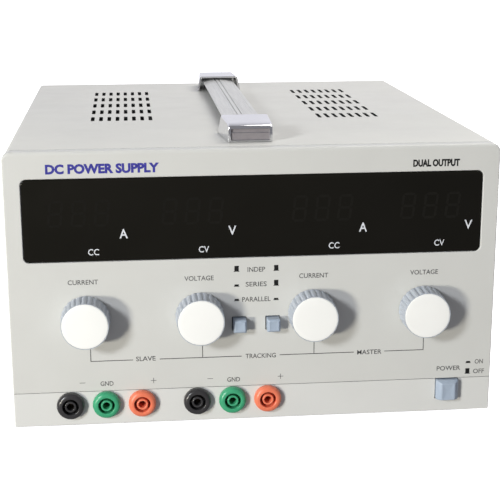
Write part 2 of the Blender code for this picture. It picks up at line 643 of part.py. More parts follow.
# --- Inside ---------------------------------------------------------------------------------------
def make_boards(root):
    shape = block((*BOARD_LOW, BOARD_Z), (*BOARD_HIGH, BOARD_Z + BOARD_T))
    place("main_board", to_mesh("main_board", shape), CIRCUIT_BOARD, root)
    board_y = 14.0 * MM
    shape = block((-118 * MM, board_y, 86 * MM), (118 * MM, board_y + BOARD_T, 140 * MM))
    place("display_board", to_mesh("display_board", shape), CIRCUIT_BOARD, root)
    for x, name in ((-60 * MM, "left"), (60 * MM, "right")):
        shape = block((x - 54 * MM, 6 * MM, 102 * MM), (x + 54 * MM, board_y - GAP, 127 * MM))
        place(f"digit_module_{name}", to_mesh(f"digit_module_{name}", shape), SMOKED_ACRYLIC, root)


def make_transformer(root):
    """Laminated core with a winding round its middle limb, on the floor of the chassis."""
    low, high = (-120 * MM, 100 * MM, SHEET + GAP), (-24 * MM, 180 * MM, 84 * MM)
    transformer = place("transformer", to_mesh("transformer", block(low, high)), CORE_STEEL, root)
    winding = block((-106 * MM, 86 * MM, 18 * MM), (-38 * MM, 194 * MM, 68 * MM))
    boolean(transformer, "transformer_winding", winding, root, "UNION")


def make_capacitors(root):
    base = BOARD_Z + BOARD_T + GAP
    profile = [(0, base), (17 * MM, base), (17.5 * MM, base + 0.5 * MM), (17.5 * MM, base + 49 * MM),
               (16.5 * MM, base + 50 * MM), (0, base + 50 * MM)]
    mesh = to_mesh("capacitor", turned(profile, 24, "Z"), smooth=True)
    for x, name in ((25 * MM, "slave"), (80 * MM, "master")):
        place(f"capacitor_{name}", mesh, CAN_BLUE, root, (x, 150 * MM, 0))


clear_scene()
CUTTER = make_material("cutter", (0.8, 0.2, 0.2), 0.5)
CASE_PLASTIC = make_material("case_plastic", (0.68, 0.68, 0.65), 0.45)
PAINTED_STEEL = make_material("painted_steel", (0.62, 0.62, 0.59), 0.5)
ZINC_SHEET = make_material("zinc_sheet", (0.55, 0.56, 0.57), 0.4, 1.0)
SMOKED_ACRYLIC = make_material("smoked_acrylic", (0.012, 0.012, 0.01), 0.15)
CHROME = make_material("chrome", (0.8, 0.8, 0.81), 0.12, 1.0)
SILVER_PLASTIC = make_material("silver_plastic", (0.6, 0.6, 0.6), 0.35, 0.3)
KNOB_GREY = make_material("knob_grey", (0.36, 0.40, 0.45), 0.45)
DISC_WHITE = make_material("disc_white", (0.93, 0.93, 0.91), 0.4)
STEEL = make_material("steel", (0.6, 0.6, 0.6), 0.3, 1.0)
POT_GREY = make_material("pot_grey", (0.4, 0.4, 0.4), 0.4, 1.0)
BUTTON_GREY = make_material("button_grey", (0.33, 0.40, 0.48), 0.4)
BLACK_PLASTIC = make_material("black_plastic", (0.02, 0.02, 0.02), 0.4)
BLACK_RUBBER = make_material("black_rubber", (0.015, 0.015, 0.015), 0.8)
TERMINAL_BLACK = make_material("terminal_black", (0.02, 0.02, 0.022), 0.3)
TERMINAL_GREEN = make_material("terminal_green", (0.04, 0.38, 0.18), 0.3)
TERMINAL_RED = make_material("terminal_red", (0.83, 0.14, 0.05), 0.3)
BRASS = make_material("brass", (0.75, 0.6, 0.3), 0.3, 1.0)
BLACK_ANODISED = make_material("black_anodised", (0.02, 0.02, 0.022), 0.45, 0.6)
CIRCUIT_BOARD = make_material("circuit_board", (0.03, 0.18, 0.07), 0.5)
CORE_STEEL = make_material("core_steel", (0.25, 0.23, 0.2), 0.5, 0.7)
CAN_BLUE = make_material("can_blue", (0.03, 0.06, 0.2), 0.35)

case_origin = make_empty("case_origin", (0, FASCIA_Y, FOOT_H))
make_fascia(case_origin)
make_terminal_strip(case_origin)
make_window(case_origin)
make_subpanel(case_origin)
make_cover(case_origin)
make_chassis(case_origin)
make_rear_panel(case_origin)
make_feet(case_origin)
make_handle(case_origin)
make_knobs(case_origin)
make_buttons(case_origin)
make_terminals(case_origin)
make_inlet(case_origin)
make_heat_sinks(case_origin)
make_boards(case_origin)
make_transformer(case_origin)
make_capacitors(case_origin)
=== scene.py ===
import math

import bmesh
import bpy
from mathutils import Matrix, Vector


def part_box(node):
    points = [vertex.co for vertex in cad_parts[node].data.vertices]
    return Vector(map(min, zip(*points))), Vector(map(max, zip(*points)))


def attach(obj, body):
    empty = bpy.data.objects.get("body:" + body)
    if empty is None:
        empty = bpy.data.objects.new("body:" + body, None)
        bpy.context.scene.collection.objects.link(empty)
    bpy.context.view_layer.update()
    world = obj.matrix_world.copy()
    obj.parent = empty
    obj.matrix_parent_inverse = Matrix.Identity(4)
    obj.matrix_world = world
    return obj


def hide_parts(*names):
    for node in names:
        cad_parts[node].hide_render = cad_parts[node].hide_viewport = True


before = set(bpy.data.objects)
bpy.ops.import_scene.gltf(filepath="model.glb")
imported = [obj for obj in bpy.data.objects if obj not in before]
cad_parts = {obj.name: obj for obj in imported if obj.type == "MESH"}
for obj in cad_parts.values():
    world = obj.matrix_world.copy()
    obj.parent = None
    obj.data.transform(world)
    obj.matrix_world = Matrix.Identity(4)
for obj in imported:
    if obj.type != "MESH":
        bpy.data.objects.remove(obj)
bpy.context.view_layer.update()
mm = 0.001
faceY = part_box("front_fascia")[0].y                 # front face of the case
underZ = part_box("terminal_strip")[0].z              # underside of the case
caseAnchor = Vector((0, faceY, underZ))             # case shapes are drawn in millimetres from here
print("frame loaded:", len(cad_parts), "nodes")


# outlines and profiles, all in millimetres
def rounded(corners, steps=6):
    # closed outline whose corners (a, b, radius) become arcs
    points = []
    for index, (a, b, radius) in enumerate(corners):
        here = Vector((a, b))
        if radius <= 0:
            points.append((a, b))
            continue
        before = (Vector(corners[index - 1][:2]) - here).normalized()
        after = (Vector(corners[(index + 1) % len(corners)][:2]) - here).normalized()
        half = before.angle(after) / 2
        centre = here + (before + after).normalized() * radius / math.sin(half)
        start = here + before * radius / math.tan(half) - centre
        end = here + after * radius / math.tan(half) - centre
        turn = math.atan2(start.x * end.y - start.y * end.x, start.dot(end))
        for step in range(steps + 1):
            angle = turn * step / steps
            points.append((centre.x + start.x * math.cos(angle) - start.y * math.sin(angle),
                           centre.y + start.x * math.sin(angle) + start.y * math.cos(angle)))
    return points


def boxOutline(low, high, radius, grow=0.0, steps=6):
    (a0, b0), (a1, b1) = low, high
    a0, b0, a1, b1 = a0 - grow, b0 - grow, a1 + grow, b1 + grow
    radius = max(radius + grow, 0.05)
    return rounded([(a0, b0, radius), (a1, b0, radius), (a1, b1, radius), (a0, b1, radius)], steps)


def standing(outline, y):
    return [(a, y, b) for a, b in outline]


def loft(shape, rings, closed=False):
    # skin a row of rings that have equal numbers of points, with a face over each end
    made = [[shape.verts.new(point) for point in ring] for ring in rings]
    pairs = list(zip(made, made[1:])) + ([(made[-1], made[0])] if closed else [])
    for near, far in pairs:
        for index in range(len(near)):
            following = (index + 1) % len(near)
            shape.faces.new((near[index], near[following], far[following], far[index]))
    if not closed:
        shape.faces.new(made[0])
        shape.faces.new(made[-1])
    return shape


def prism(shape, outline, start, end, axis="Y"):
    return loft(shape, [[(a, along, b) if axis == "Y" else (a, b, along) for a, b in outline]
                        for along in (start, end)])


def turned(shape, profile, sides, axis="Y"):
    # closed profile of (radius, position along the axis), spun round the axis
    rings = []
    for step in range(sides):
        angle = math.tau * step / sides
        across, up = math.cos(angle), math.sin(angle)
        rings.append([(r * across, p, r * up) if axis == "Y" else (r * across, r * up, p)
                      for r, p in profile])
    loft(shape, rings, closed=True)
    bmesh.ops.remove_doubles(shape, verts=shape.verts, dist=0.0005)
    return shape


def arc(centre, radii, start, steps):
    # quarter turn about a centre, from the angle start in degrees on
    turns = [math.radians(start + 90 * step / steps) for step in range(steps + 1)]
    return [(centre[0] + radii[0] * math.cos(turn), centre[1] + radii[1] * math.sin(turn)) for turn in turns]


def block(shape, low, high):
    low, high = Vector(low), Vector(high)
    matrix = Matrix.Translation((low + high) / 2) @ Matrix.Diagonal((*(high - low), 1))
    bmesh.ops.create_cube(shape, size=1, matrix=matrix)
    return shape


def lippedHole(shape, low, high, radius, lip, depth, steps=6):
    # cutter for an opening in the face, whose edge it rounds by lip
    rings = [standing(boxOutline(low, high, radius, lip, steps), -1)]
    for step in range(5):
        y = lip * step / 4
        grow = lip - math.sqrt(max(lip ** 2 - (lip - y) ** 2, 0))
        rings.append(standing(boxOutline(low, high, radius, grow, steps), y))
    rings.append(standing(boxOutline(low, high, radius, 0, steps), depth))
    return loft(shape, rings)


# objects
def newPiece(name, shape, material, anchor=caseAnchor, sharp=38, unit=mm):
    bmesh.ops.recalc_face_normals(shape, faces=shape.faces)
    mesh = bpy.data.meshes.new(name)
    shape.to_mesh(mesh)
    shape.free()
    mesh.transform(Matrix.Translation(anchor) @ Matrix.Scale(unit, 4))
    mesh.shade_smooth()
    mesh.set_sharp_from_angle(angle=math.radians(sharp))
    mesh.materials.append(material)
    piece = bpy.data.objects.new(name, mesh)
    bpy.context.scene.collection.objects.link(piece)
    return piece


def plainMesh(piece, sharp=38):
    # put what the modifiers make in place of the piece's own mesh
    graph = bpy.context.evaluated_depsgraph_get()
    mesh = bpy.data.meshes.new_from_object(piece.evaluated_get(graph), depsgraph=graph)
    piece.modifiers.clear()
    piece.data = mesh
    mesh.shade_smooth()
    mesh.set_sharp_from_angle(angle=math.radians(sharp))
    return piece


def carve(piece, shape, operation="DIFFERENCE"):
    tool = newPiece("tool", shape, piece.data.materials[0])
    step = piece.modifiers.new("carve", "BOOLEAN")
    step.operation = operation
    step.object = tool
    plainMesh(piece)
    bpy.data.objects.remove(tool)
    return piece


def soften(piece, width, segments=2, angle=35):
    step = piece.modifiers.new("soften", "BEVEL")
    step.width = width * mm
    step.segments = segments
    step.limit_method = "ANGLE"
    step.angle_limit = math.radians(angle)
    return plainMesh(piece, 50)


def settle(piece, body, slot, *nodes):
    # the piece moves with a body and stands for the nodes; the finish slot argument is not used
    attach(piece, body)
    if nodes:
        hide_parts(*nodes)


# places, in millimetres from the anchor of the case
def inCase(point):
    return (Vector(point) - caseAnchor) / mm


def caseBox(node):
    return [inCase(corner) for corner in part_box(node)]


def faceBox(node):
    # the node's box in millimetres from the point of the face in front of its middle, and that point
    low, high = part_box(node)
    middle = (low + high) / 2
    anchor = Vector((middle.x, faceY, middle.z))
    return (low - anchor) / mm, (high - anchor) / mm, anchor


def worldPoint(x, y, z):
    return caseAnchor + Vector((x, y, z)) * mm


# node trees
def addNode(tree, kind, inputs=None, **settings):
    node = tree.nodes.new(kind)
    for key, value in settings.items():
        setattr(node, key, value)
    for key, value in (inputs or {}).items():
        if isinstance(value, bpy.types.NodeSocket):
            tree.links.new(value, node.inputs[key])
        else:
            node.inputs[key].default_value = value
    return node


def mathsIn(tree):
    def maths(operation, first, second=0.0):
        return addNode(tree, "ShaderNodeMath", {0: first, 1: second}, operation=operation).outputs[0]
    return maths


def newTree(name, sockets):
    # sockets holds the names of the inputs of each kind
    tree = bpy.data.node_groups.new(name, "GeometryNodeTree")
    for kind, labels in {"Geometry": ["Geometry"], **sockets, "Material": ["Material"]}.items():
        for label in labels:
            tree.interface.new_socket(label, in_out="INPUT", socket_type="NodeSocket" + kind)
    tree.interface.new_socket("Geometry", in_out="OUTPUT", socket_type="NodeSocketGeometry")
    return tree, tree.nodes.new("NodeGroupInput").outputs


def endTree(tree, geometry, given):
    # every tree ends in Realize Instances and Set Material
    real = addNode(tree, "GeometryNodeRealizeInstances", {0: geometry})
    painted = addNode(tree, "GeometryNodeSetMaterial", {"Geometry": real.outputs[0],
                                                        "Material": given["Material"]})
    addNode(tree, "NodeGroupOutput", {0: painted.outputs[0]})
    return tree


def runTree(piece, tree, values, sharp=38):
    step = piece.modifiers.new(tree.name, "NODES")
    step.node_group = tree
    values = {"Material": piece.data.materials[0], **values}
    for item in tree.interface.items_tree:
        if item.in_out == "INPUT" and item.name in values:
            step[item.identifier] = values[item.name]
    return plainMesh(piece, sharp)


def copiesTree():
    # copies of the piece in a straight row
    tree, given = newTree("copiesInRow", {"Int": ["Count"], "Vector": ["Step"]})
    line = addNode(tree, "GeometryNodeMeshLine", {"Count": given["Count"], "Offset": given["Step"]})
    row = addNode(tree, "GeometryNodeInstanceOnPoints", {"Points": line.outputs[0],
                                                         "Instance": given["Geometry"]})
    return endTree(tree, row.outputs[0], given)


def slotsTree():
    # round-ended slots cut through a sheet on a grid
    tree, given = newTree("sheetSlots", {"Int": ["Columns", "Rows"], "Vector": ["Centre"],
                                         "Float": ["Pitch X", "Pitch Y", "Width", "Length", "Depth"]})
    maths = mathsIn(tree)
    spanX = maths("MULTIPLY", maths("SUBTRACT", given["Columns"], 1), given["Pitch X"])
    spanY = maths("MULTIPLY", maths("SUBTRACT", given["Rows"], 1), given["Pitch Y"])
    grid = addNode(tree, "GeometryNodeMeshGrid", {"Size X": spanX, "Size Y": spanY,
                                                  "Vertices X": given["Columns"],
                                                  "Vertices Y": given["Rows"]})
    placed = addNode(tree, "GeometryNodeTransform", {"Geometry": grid.outputs[0],
                                                     "Translation": given["Centre"]})
    outline = addNode(tree, "GeometryNodeCurvePrimitiveQuadrilateral", {"Width": given["Width"],
                                                                        "Height": given["Length"]})
    corner = maths("MULTIPLY", given["Width"], 0.499)
    ends = addNode(tree, "GeometryNodeFilletCurve", {"Curve": outline.outputs[0], "Count": 5,
                                                     "Radius": corner}, mode="POLY")
    flat = addNode(tree, "GeometryNodeFillCurve", {"Curve": ends.outputs[0]}, mode="NGONS")
    rise = addNode(tree, "ShaderNodeCombineXYZ", {"Z": given["Depth"]})
    lifted = addNode(tree, "GeometryNodeExtrudeMesh", {"Mesh": flat.outputs[0], "Offset": rise.outputs[0],
                                                       "Individual": False})
    floor = addNode(tree, "GeometryNodeFlipFaces", {"Mesh": flat.outputs[0]})
    both = addNode(tree, "GeometryNodeJoinGeometry")
    tree.links.new(lifted.outputs[0], both.inputs[0])
    tree.links.new(floor.outputs[0], both.inputs[0])
    whole = addNode(tree, "GeometryNodeMergeByDistance", {"Geometry": both.outputs[0], "Distance": 0.00001})
    cutters = addNode(tree, "GeometryNodeInstanceOnPoints", {"Points": placed.outputs[0],
                                                             "Instance": whole.outputs[0]})
    real = addNode(tree, "GeometryNodeRealizeInstances", {0: cutters.outputs[0]})
    cut = addNode(tree, "GeometryNodeMeshBoolean", {"Mesh 1": given["Geometry"], "Mesh 2": real.outputs[0]})
    return endTree(tree, cut.outputs[0], given)


def flutesTree():
    # grooves round a skirt that lies along Y, fading out at its ends
    tree, given = newTree("skirtFlutes", {"Vector": ["Centre"], "Float": ["Flutes", "Depth", "Inner Radius",
                                                                          "Front", "Back", "Fade"]})
    maths = mathsIn(tree)
    place = addNode(tree, "GeometryNodeInputPosition").outputs[0]
    offset = addNode(tree, "ShaderNodeVectorMath", {0: place, 1: given["Centre"]}, operation="SUBTRACT")
    parts = addNode(tree, "ShaderNodeSeparateXYZ", {0: offset.outputs[0]}).outputs
    flatOffset = addNode(tree, "ShaderNodeCombineXYZ", {"X": parts[0], "Z": parts[2]}).outputs[0]
    radius = addNode(tree, "ShaderNodeVectorMath", {0: flatOffset}, operation="LENGTH").outputs["Value"]
    outward = addNode(tree, "ShaderNodeVectorMath", {0: flatOffset}, operation="NORMALIZE").outputs[0]
    turn = maths("MULTIPLY", maths("ARCTAN2", parts[2], parts[0]), given["Flutes"])
    wave = maths("POWER", maths("MULTIPLY", maths("ADD", maths("COSINE", turn), 1.0), 0.5), 2.6)
    outside = maths("GREATER_THAN", radius, given["Inner Radius"])
    height = addNode(tree, "ShaderNodeSeparateXYZ", {0: place}).outputs[1]
    fromFront = maths("DIVIDE", maths("SUBTRACT", height, given["Front"]), given["Fade"])
    fromBack = maths("DIVIDE", maths("SUBTRACT", given["Back"], height), given["Fade"])
    fade = addNode(tree, "ShaderNodeClamp", {0: maths("MINIMUM", fromFront, fromBack)}).outputs[0]
    inward = maths("MULTIPLY", maths("MULTIPLY", wave, outside), maths("MULTIPLY", fade, given["Depth"]))
    move = addNode(tree, "ShaderNodeVectorMath", {0: outward, "Scale": maths("MULTIPLY", inward, -1.0)},
                   operation="SCALE").outputs[0]
    shaped = addNode(tree, "GeometryNodeSetPosition", {"Geometry": given["Geometry"], "Offset": move})
    return endTree(tree, shaped.outputs[0], given)


def screwsTree():
    # pan heads with a cross recess on the piece's points, all facing one way
    tree, given = newTree("panHeadScrews", {"Vector": ["Facing"], "Float": ["Radius", "Height"]})
    maths = mathsIn(tree)
    flat = addNode(tree, "ShaderNodeCombineXYZ", {"X": given["Radius"], "Y": given["Radius"],
                                                  "Z": given["Height"]}).outputs[0]
    ball = addNode(tree, "GeometryNodeMeshUVSphere", {"Segments": 24, "Rings": 10, "Radius": 1.0})
    head = addNode(tree, "GeometryNodeTransform", {"Geometry": ball.outputs[0], "Scale": flat})
    long, narrow = maths("MULTIPLY", given["Radius"], 1.1), maths("MULTIPLY", given["Radius"], 0.24)
    tall = maths("MULTIPLY", given["Height"], 1.3)
    up = addNode(tree, "ShaderNodeCombineXYZ", {"Z": maths("MULTIPLY", given["Height"], 1.1)}).outputs[0]
    result = head.outputs[0]
    for x, y in ((long, narrow), (narrow, long)):
        size = addNode(tree, "ShaderNodeCombineXYZ", {"X": x, "Y": y, "Z": tall}).outputs[0]
        bar = addNode(tree, "GeometryNodeMeshCube", {"Size": size})
        raised = addNode(tree, "GeometryNodeTransform", {"Geometry": bar.outputs[0], "Translation": up})
        cut = addNode(tree, "GeometryNodeMeshBoolean", {"Mesh 1": result, "Mesh 2": raised.outputs[0]})
        result = cut.outputs[0]
    facing = addNode(tree, "FunctionNodeAlignRotationToVector", {"Vector": given["Facing"]}, axis="Z")
    put = addNode(tree, "GeometryNodeInstanceOnPoints", {"Points": given["Geometry"], "Instance": result,
                                                         "Rotation": facing.outputs[0]})
    return endTree(tree, put.outputs[0], given)


copiesInRow, sheetSlots, skirtFlutes, panHeadScrews = copiesTree(), slotsTree(), flutesTree(), screwsTree()


def screwRow(name, points, facing, radius, height):
    shape = bmesh.new()
    for point in points:
        shape.verts.new(point)
    row = newPiece(name, shape, screwSteel, Vector(), 38, 1)
    runTree(row, panHeadScrews, {"Radius": radius * mm, "Height": height * mm, "Facing": facing}, 45)
    settle(row, "case", "shaft_steel")


# finishes
def finish(name, colour, roughness, metallic=0.0, mottle=None, grain=None, stretch=(1, 1, 1),
           roughSpread=0.0, specular=0.5):
    # mottle is (scale, second colour), grain is (scale, height in mm)
    material = bpy.data.materials.new(name)
    material.use_nodes = True
    tree = material.node_tree
    shader = tree.nodes["Principled BSDF"]
    shader.inputs["Base Color"].default_value = (*colour, 1)
    shader.inputs["Roughness"].default_value = roughness
    shader.inputs["Metallic"].default_value = metallic
    shader.inputs["Specular IOR Level"].default_value = specular
    place = addNode(tree, "ShaderNodeTexCoord").outputs["Object"]
    place = addNode(tree, "ShaderNodeMapping", {"Vector": place, "Scale": stretch}).outputs[0]
    if mottle:
        scale, second = mottle
        cloud = addNode(tree, "ShaderNodeTexNoise", {"Vector": place, "Scale": scale, "Detail": 4.0})
        ramp = addNode(tree, "ShaderNodeMapRange", {"Value": cloud.outputs[0], "From Min": 0.35,
                                                    "From Max": 0.65})
        mix = addNode(tree, "ShaderNodeMix", {"Factor": ramp.outputs[0], "A": (*colour, 1),
                                              "B": (*second, 1)}, data_type="RGBA")
        tree.links.new(mix.outputs["Result"], shader.inputs["Base Color"])
    if roughSpread:
        smudge = addNode(tree, "ShaderNodeTexNoise", {"Vector": place, "Scale": 60.0, "Detail": 5.0})
        low, high = max(roughness - roughSpread, 0.02), roughness + roughSpread
        spread = addNode(tree, "ShaderNodeMapRange", {"Value": smudge.outputs[0], "From Min": 0.3,
                                                      "From Max": 0.7, "To Min": low, "To Max": high})
        tree.links.new(spread.outputs[0], shader.inputs["Roughness"])
    if grain:
        scale, height = grain
        fine = addNode(tree, "ShaderNodeTexNoise", {"Vector": place, "Scale": scale, "Detail": 3.0})
        bump = addNode(tree, "ShaderNodeBump", {"Height": fine.outputs[0], "Distance": height * mm})
        tree.links.new(bump.outputs[0], shader.inputs["Normal"])
    return material


casePlastic = finish("casePlastic", (0.645, 0.645, 0.62), 0.42, mottle=(45, (0.63, 0.63, 0.605)),
                     grain=(2600, 0.02), roughSpread=0.05)
# painted light: the terminal strip's plastic is the fascia's plastic painted lighter, standing in for light
# bounced up from the floor onto the lower front
stripPaintedBounceLight = finish("stripPaintedBounceLight", (0.70, 0.70, 0.68), 0.42, mottle=(45, (0.685, 0.685, 0.665)),
                      grain=(2600, 0.02), roughSpread=0.05)
powderCoat = finish("powderCoat", (0.66, 0.655, 0.62), 0.45, mottle=(30, (0.64, 0.635, 0.605)),
                    grain=(1500, 0.05), roughSpread=0.05)
coverCoat = finish("coverCoat", (0.67, 0.665, 0.63), 0.45, mottle=(30, (0.65, 0.645, 0.615)),
                   grain=(1500, 0.05), roughSpread=0.05)
zincSheet = finish("zincSheet", (0.55, 0.56, 0.57), 0.38, 1.0, mottle=(160, (0.46, 0.47, 0.49)),
                   grain=(500, 0.02), roughSpread=0.1)
smokedAcrylic = finish("smokedAcrylic", (0.0088, 0.0081, 0.0062), 0.12, mottle=(30, (0.0098, 0.009, 0.007)),
                       roughSpread=0.04, specular=0.12)
unlitSegment = finish("unlitSegment", (0.0117, 0.0109, 0.009), 0.14, mottle=(400, (0.0105, 0.0098, 0.0081)),
                      specular=0.12)
chromePlate = finish("chromePlate", (0.86, 0.86, 0.88), 0.07, 1.0, mottle=(80, (0.8, 0.8, 0.82)),
                     grain=(150, 0.03), roughSpread=0.03)
capPlug = finish("capPlug", (0.27, 0.25, 0.262), 0.38, 0.2, mottle=(300, (0.24, 0.22, 0.235)),
                 grain=(1800, 0.02), roughSpread=0.06)
strapPlastic = finish("strapPlastic", (0.66, 0.66, 0.65), 0.32, 0.2, mottle=(900, (0.58, 0.58, 0.575)),
                      grain=(1800, 0.02), stretch=(1, 0.04, 1), roughSpread=0.06)
knobPlastic = finish("knobPlastic", (0.50, 0.54, 0.60), 0.42, mottle=(90, (0.47, 0.51, 0.57)),
                     grain=(2500, 0.015), roughSpread=0.05)
discWhite = finish("discWhite", (0.95, 0.95, 0.925), 0.38, mottle=(60, (0.93, 0.93, 0.905)),
                   grain=(2500, 0.01), roughSpread=0.05)
buttonPlastic = finish("buttonPlastic", (0.40, 0.47, 0.57), 0.36, mottle=(120, (0.37, 0.44, 0.54)),
                       grain=(2500, 0.012), roughSpread=0.05)
socketBlack = finish("socketBlack", (0.032, 0.031, 0.033), 0.24, mottle=(200, (0.04, 0.038, 0.04)),
                     grain=(1500, 0.01), roughSpread=0.05)
socketGreen = finish("socketGreen", (0.055, 0.38, 0.19), 0.28, mottle=(200, (0.045, 0.34, 0.17)),
                     grain=(1500, 0.01), roughSpread=0.05)
socketRed = finish("socketRed", (0.87, 0.22, 0.12), 0.28, mottle=(200, (0.80, 0.19, 0.10)),
                   grain=(1500, 0.01), roughSpread=0.05)
blackPlastic = finish("blackPlastic", (0.02, 0.02, 0.021), 0.4, mottle=(150, (0.028, 0.028, 0.029)),
                      grain=(1800, 0.02), roughSpread=0.06)
rubber = finish("rubber", (0.018, 0.018, 0.018), 0.75, mottle=(220, (0.026, 0.025, 0.024)),
                grain=(1400, 0.04), roughSpread=0.08)
anodised = finish("anodised", (0.022, 0.022, 0.024), 0.42, 0.5, mottle=(120, (0.03, 0.03, 0.032)),
                  grain=(1200, 0.02), stretch=(1, 1, 0.08), roughSpread=0.08)
turnedSteel = finish("turnedSteel", (0.6, 0.6, 0.6), 0.3, 1.0, mottle=(300, (0.52, 0.52, 0.53)),
                     grain=(1500, 0.01), roughSpread=0.08)
screwSteel = finish("screwSteel", (0.62, 0.62, 0.6), 0.28, 1.0, mottle=(400, (0.5, 0.5, 0.48)),
                    grain=(1600, 0.01), roughSpread=0.08)
potCan = finish("potCan", (0.5, 0.5, 0.5), 0.35, 1.0, mottle=(200, (0.42, 0.42, 0.43)), grain=(900, 0.02))
brass = finish("brass", (0.75, 0.58, 0.28), 0.28, 1.0, mottle=(250, (0.62, 0.46, 0.2)), grain=(1500, 0.01))
circuitBoard = finish("circuitBoard", (0.03, 0.18, 0.07), 0.4, mottle=(140, (0.05, 0.24, 0.1)),
                      grain=(700, 0.03), roughSpread=0.08)
coreSteel = finish("coreSteel", (0.22, 0.2, 0.18), 0.45, 0.7, mottle=(1400, (0.12, 0.11, 0.1)),
                   grain=(1500, 0.05), stretch=(0.02, 1, 0.02), roughSpread=0.08)
canSleeve = finish("canSleeve", (0.03, 0.06, 0.2), 0.3, mottle=(60, (0.035, 0.07, 0.23)), grain=(600, 0.01))
greyPrint = finish("greyPrint", (0.06, 0.06, 0.062), 0.55, mottle=(900, (0.08, 0.08, 0.08)),
                   grain=(2500, 0.01))
blackPrint = finish("blackPrint", (0.012, 0.012, 0.012), 0.5, mottle=(900, (0.018, 0.018, 0.018)),
                    grain=(2500, 0.01), specular=0.15)
bluePrint = finish("bluePrint", (0.025, 0.025, 0.25), 0.5, mottle=(900, (0.045, 0.04, 0.34)),
                   grain=(2500, 0.01))
whitePrint = finish("whitePrint", (0.72, 0.74, 0.78), 0.45, mottle=(900, (0.66, 0.68, 0.72)),
                    grain=(2500, 0.01))
print("finishes made:", len(bpy.data.materials))


# front of the case
bezelSize = {"depth": 7.0, "rim": 2.8, "face": 3.0, "corner": 4.5, "lowCorner": 0.8, "edge": 1.8,
             "sideEdge": 0.8, "backEdge": 0.5, "seamHigh": 19.45, "seamLow": 19.15, "lip": 0.6}
caseWide = (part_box("front_fascia")[1].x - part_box("front_fascia")[0].x) / mm
caseHigh = (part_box("front_fascia")[1].z - underZ) / mm
holeSize = {"windowRoom": 0.3, "windowCorner": 3.2, "buttonRoom": 0.4, "buttonCorner": 0.6, "powerRoom": 0.3,
            "shaft": 4.9, "socket": 5.2, "lip": 0.2, "depth": 9}
windowLow, windowHigh = caseBox("display_window")


def evenNormals(piece):
    # large flat faces keep their own normal, so that round lips don't shade them
    step = piece.modifiers.new("evenNormals", "WEIGHTED_NORMAL")
    step.keep_sharp = True
    step.weight = 100


def bezelBlank():
    size, half = bezelSize, caseWide / 2

    def ring(side, top, y):
        upper, lower = max(size["corner"] - top, 0.3), max(size["lowCorner"] - side, 0.05)
        corners = [(side - half, side, lower), (half - side, side, lower),
                   (half - side, caseHigh - top, upper), (side - half, caseHigh - top, upper)]
        return standing(rounded(corners, 12), y)
    rings = []
    for step in range(9):
        turn = math.radians(90 * step / 8)
        inset = 1 - math.sin(turn)
        rings.append(ring(size["sideEdge"] * inset, size["edge"] * inset,
                          size["edge"] * (1 - math.cos(turn))))
    back, rim, depth = size["backEdge"], size["rim"], size["depth"]
    rings += [ring(0, 0, depth - back), ring(back, back, depth), ring(rim, rim, depth),
              ring(rim, rim, size["face"])]
    return loft(bmesh.new(), rings)


def boxHole(holes, node, room, corner):
    low, high = caseBox(node)
    lippedHole(holes, (low.x - room, low.z - room), (high.x + room, high.z + room), corner,
               holeSize["lip"], holeSize["depth"])


def roundHole(holes, node, radius):
    low, high = caseBox(node)
    x, z = (low.x + high.x) / 2, (low.z + high.z) / 2
    lippedHole(holes, (x - radius, z - radius), (x + radius, z + radius), radius - 0.05,
               holeSize["lip"], holeSize["depth"])


def makeFascia():
    size = holeSize
    fascia = newPiece("fascia", bezelBlank(), casePlastic)
    carve(fascia, block(bmesh.new(), (-200, -5, -5), (200, 20, bezelSize["seamHigh"])))
    room = size["windowRoom"]
    carve(fascia, lippedHole(bmesh.new(), (windowLow.x - room, windowLow.z - room),
                             (windowHigh.x + room, windowHigh.z + room), size["windowCorner"],
                             bezelSize["lip"], size["depth"], 8))
    holes = bmesh.new()
    for side in ("left", "right"):
        boxHole(holes, f"tracking_{side}_button", size["buttonRoom"], size["buttonCorner"])
    for output in ("slave", "master"):
        for control in ("current", "voltage"):
            roundHole(holes, f"shaft_{output}_{control}", size["shaft"])
    carve(fascia, holes)
    evenNormals(fascia)
    settle(fascia, "case", "case_plastic", "front_fascia")


def makeStrip():
    # the strip takes the plastic painted lighter for the light bounced up from the floor
    strip = newPiece("terminalStrip", bezelBlank(), stripPaintedBounceLight)
    carve(strip, block(bmesh.new(), (-200, -5, bezelSize["seamLow"]), (200, 20, 200)))
    holes = bmesh.new()
    for output in ("slave", "master"):
        for pole in ("negative", "ground", "positive"):
            roundHole(holes, f"terminal_{output}_{pole}", holeSize["socket"])
    low, high = caseBox("power_button")
    room = holeSize["powerRoom"]
    block(holes, (low.x - room, -5, low.z - room), (high.x + room, holeSize["depth"], 30))
    carve(strip, holes)
    evenNormals(strip)
    settle(strip, "case", "case_plastic", "terminal_strip")


makeFascia()
makeStrip()
print("front mouldings made")


# display window
windowSize = {"corner": 3.0, "edge": 0.35, "back": 3.0}
digitSize = {"height": 14.2, "width": 7.6, "pitch": 12.0, "bar": 1.35, "gap": 0.18, "lean": 6.0, "count": 3,
             "lowZ": 109.6, "proud": 0.02}
digitLeftX = (-108.5, -49.5, 18.8, 76.6)


def makeWindow():
    size, edge = windowSize, windowSize["edge"]
    front, lowCorner, highCorner = windowLow.y, (windowLow.x, windowLow.z), (windowHigh.x, windowHigh.z)
    rings = []
    for inset, y in ((edge, front), (edge * 0.3, front + edge * 0.3), (0, front + edge), (0, size["back"])):
        rings.append(standing(boxOutline(lowCorner, highCorner, size["corner"], -inset, 10), y))
    window = newPiece("displayWindow", loft(bmesh.new(), rings), smokedAcrylic)
    settle(window, "case", "smoked_acrylic", "display_window")


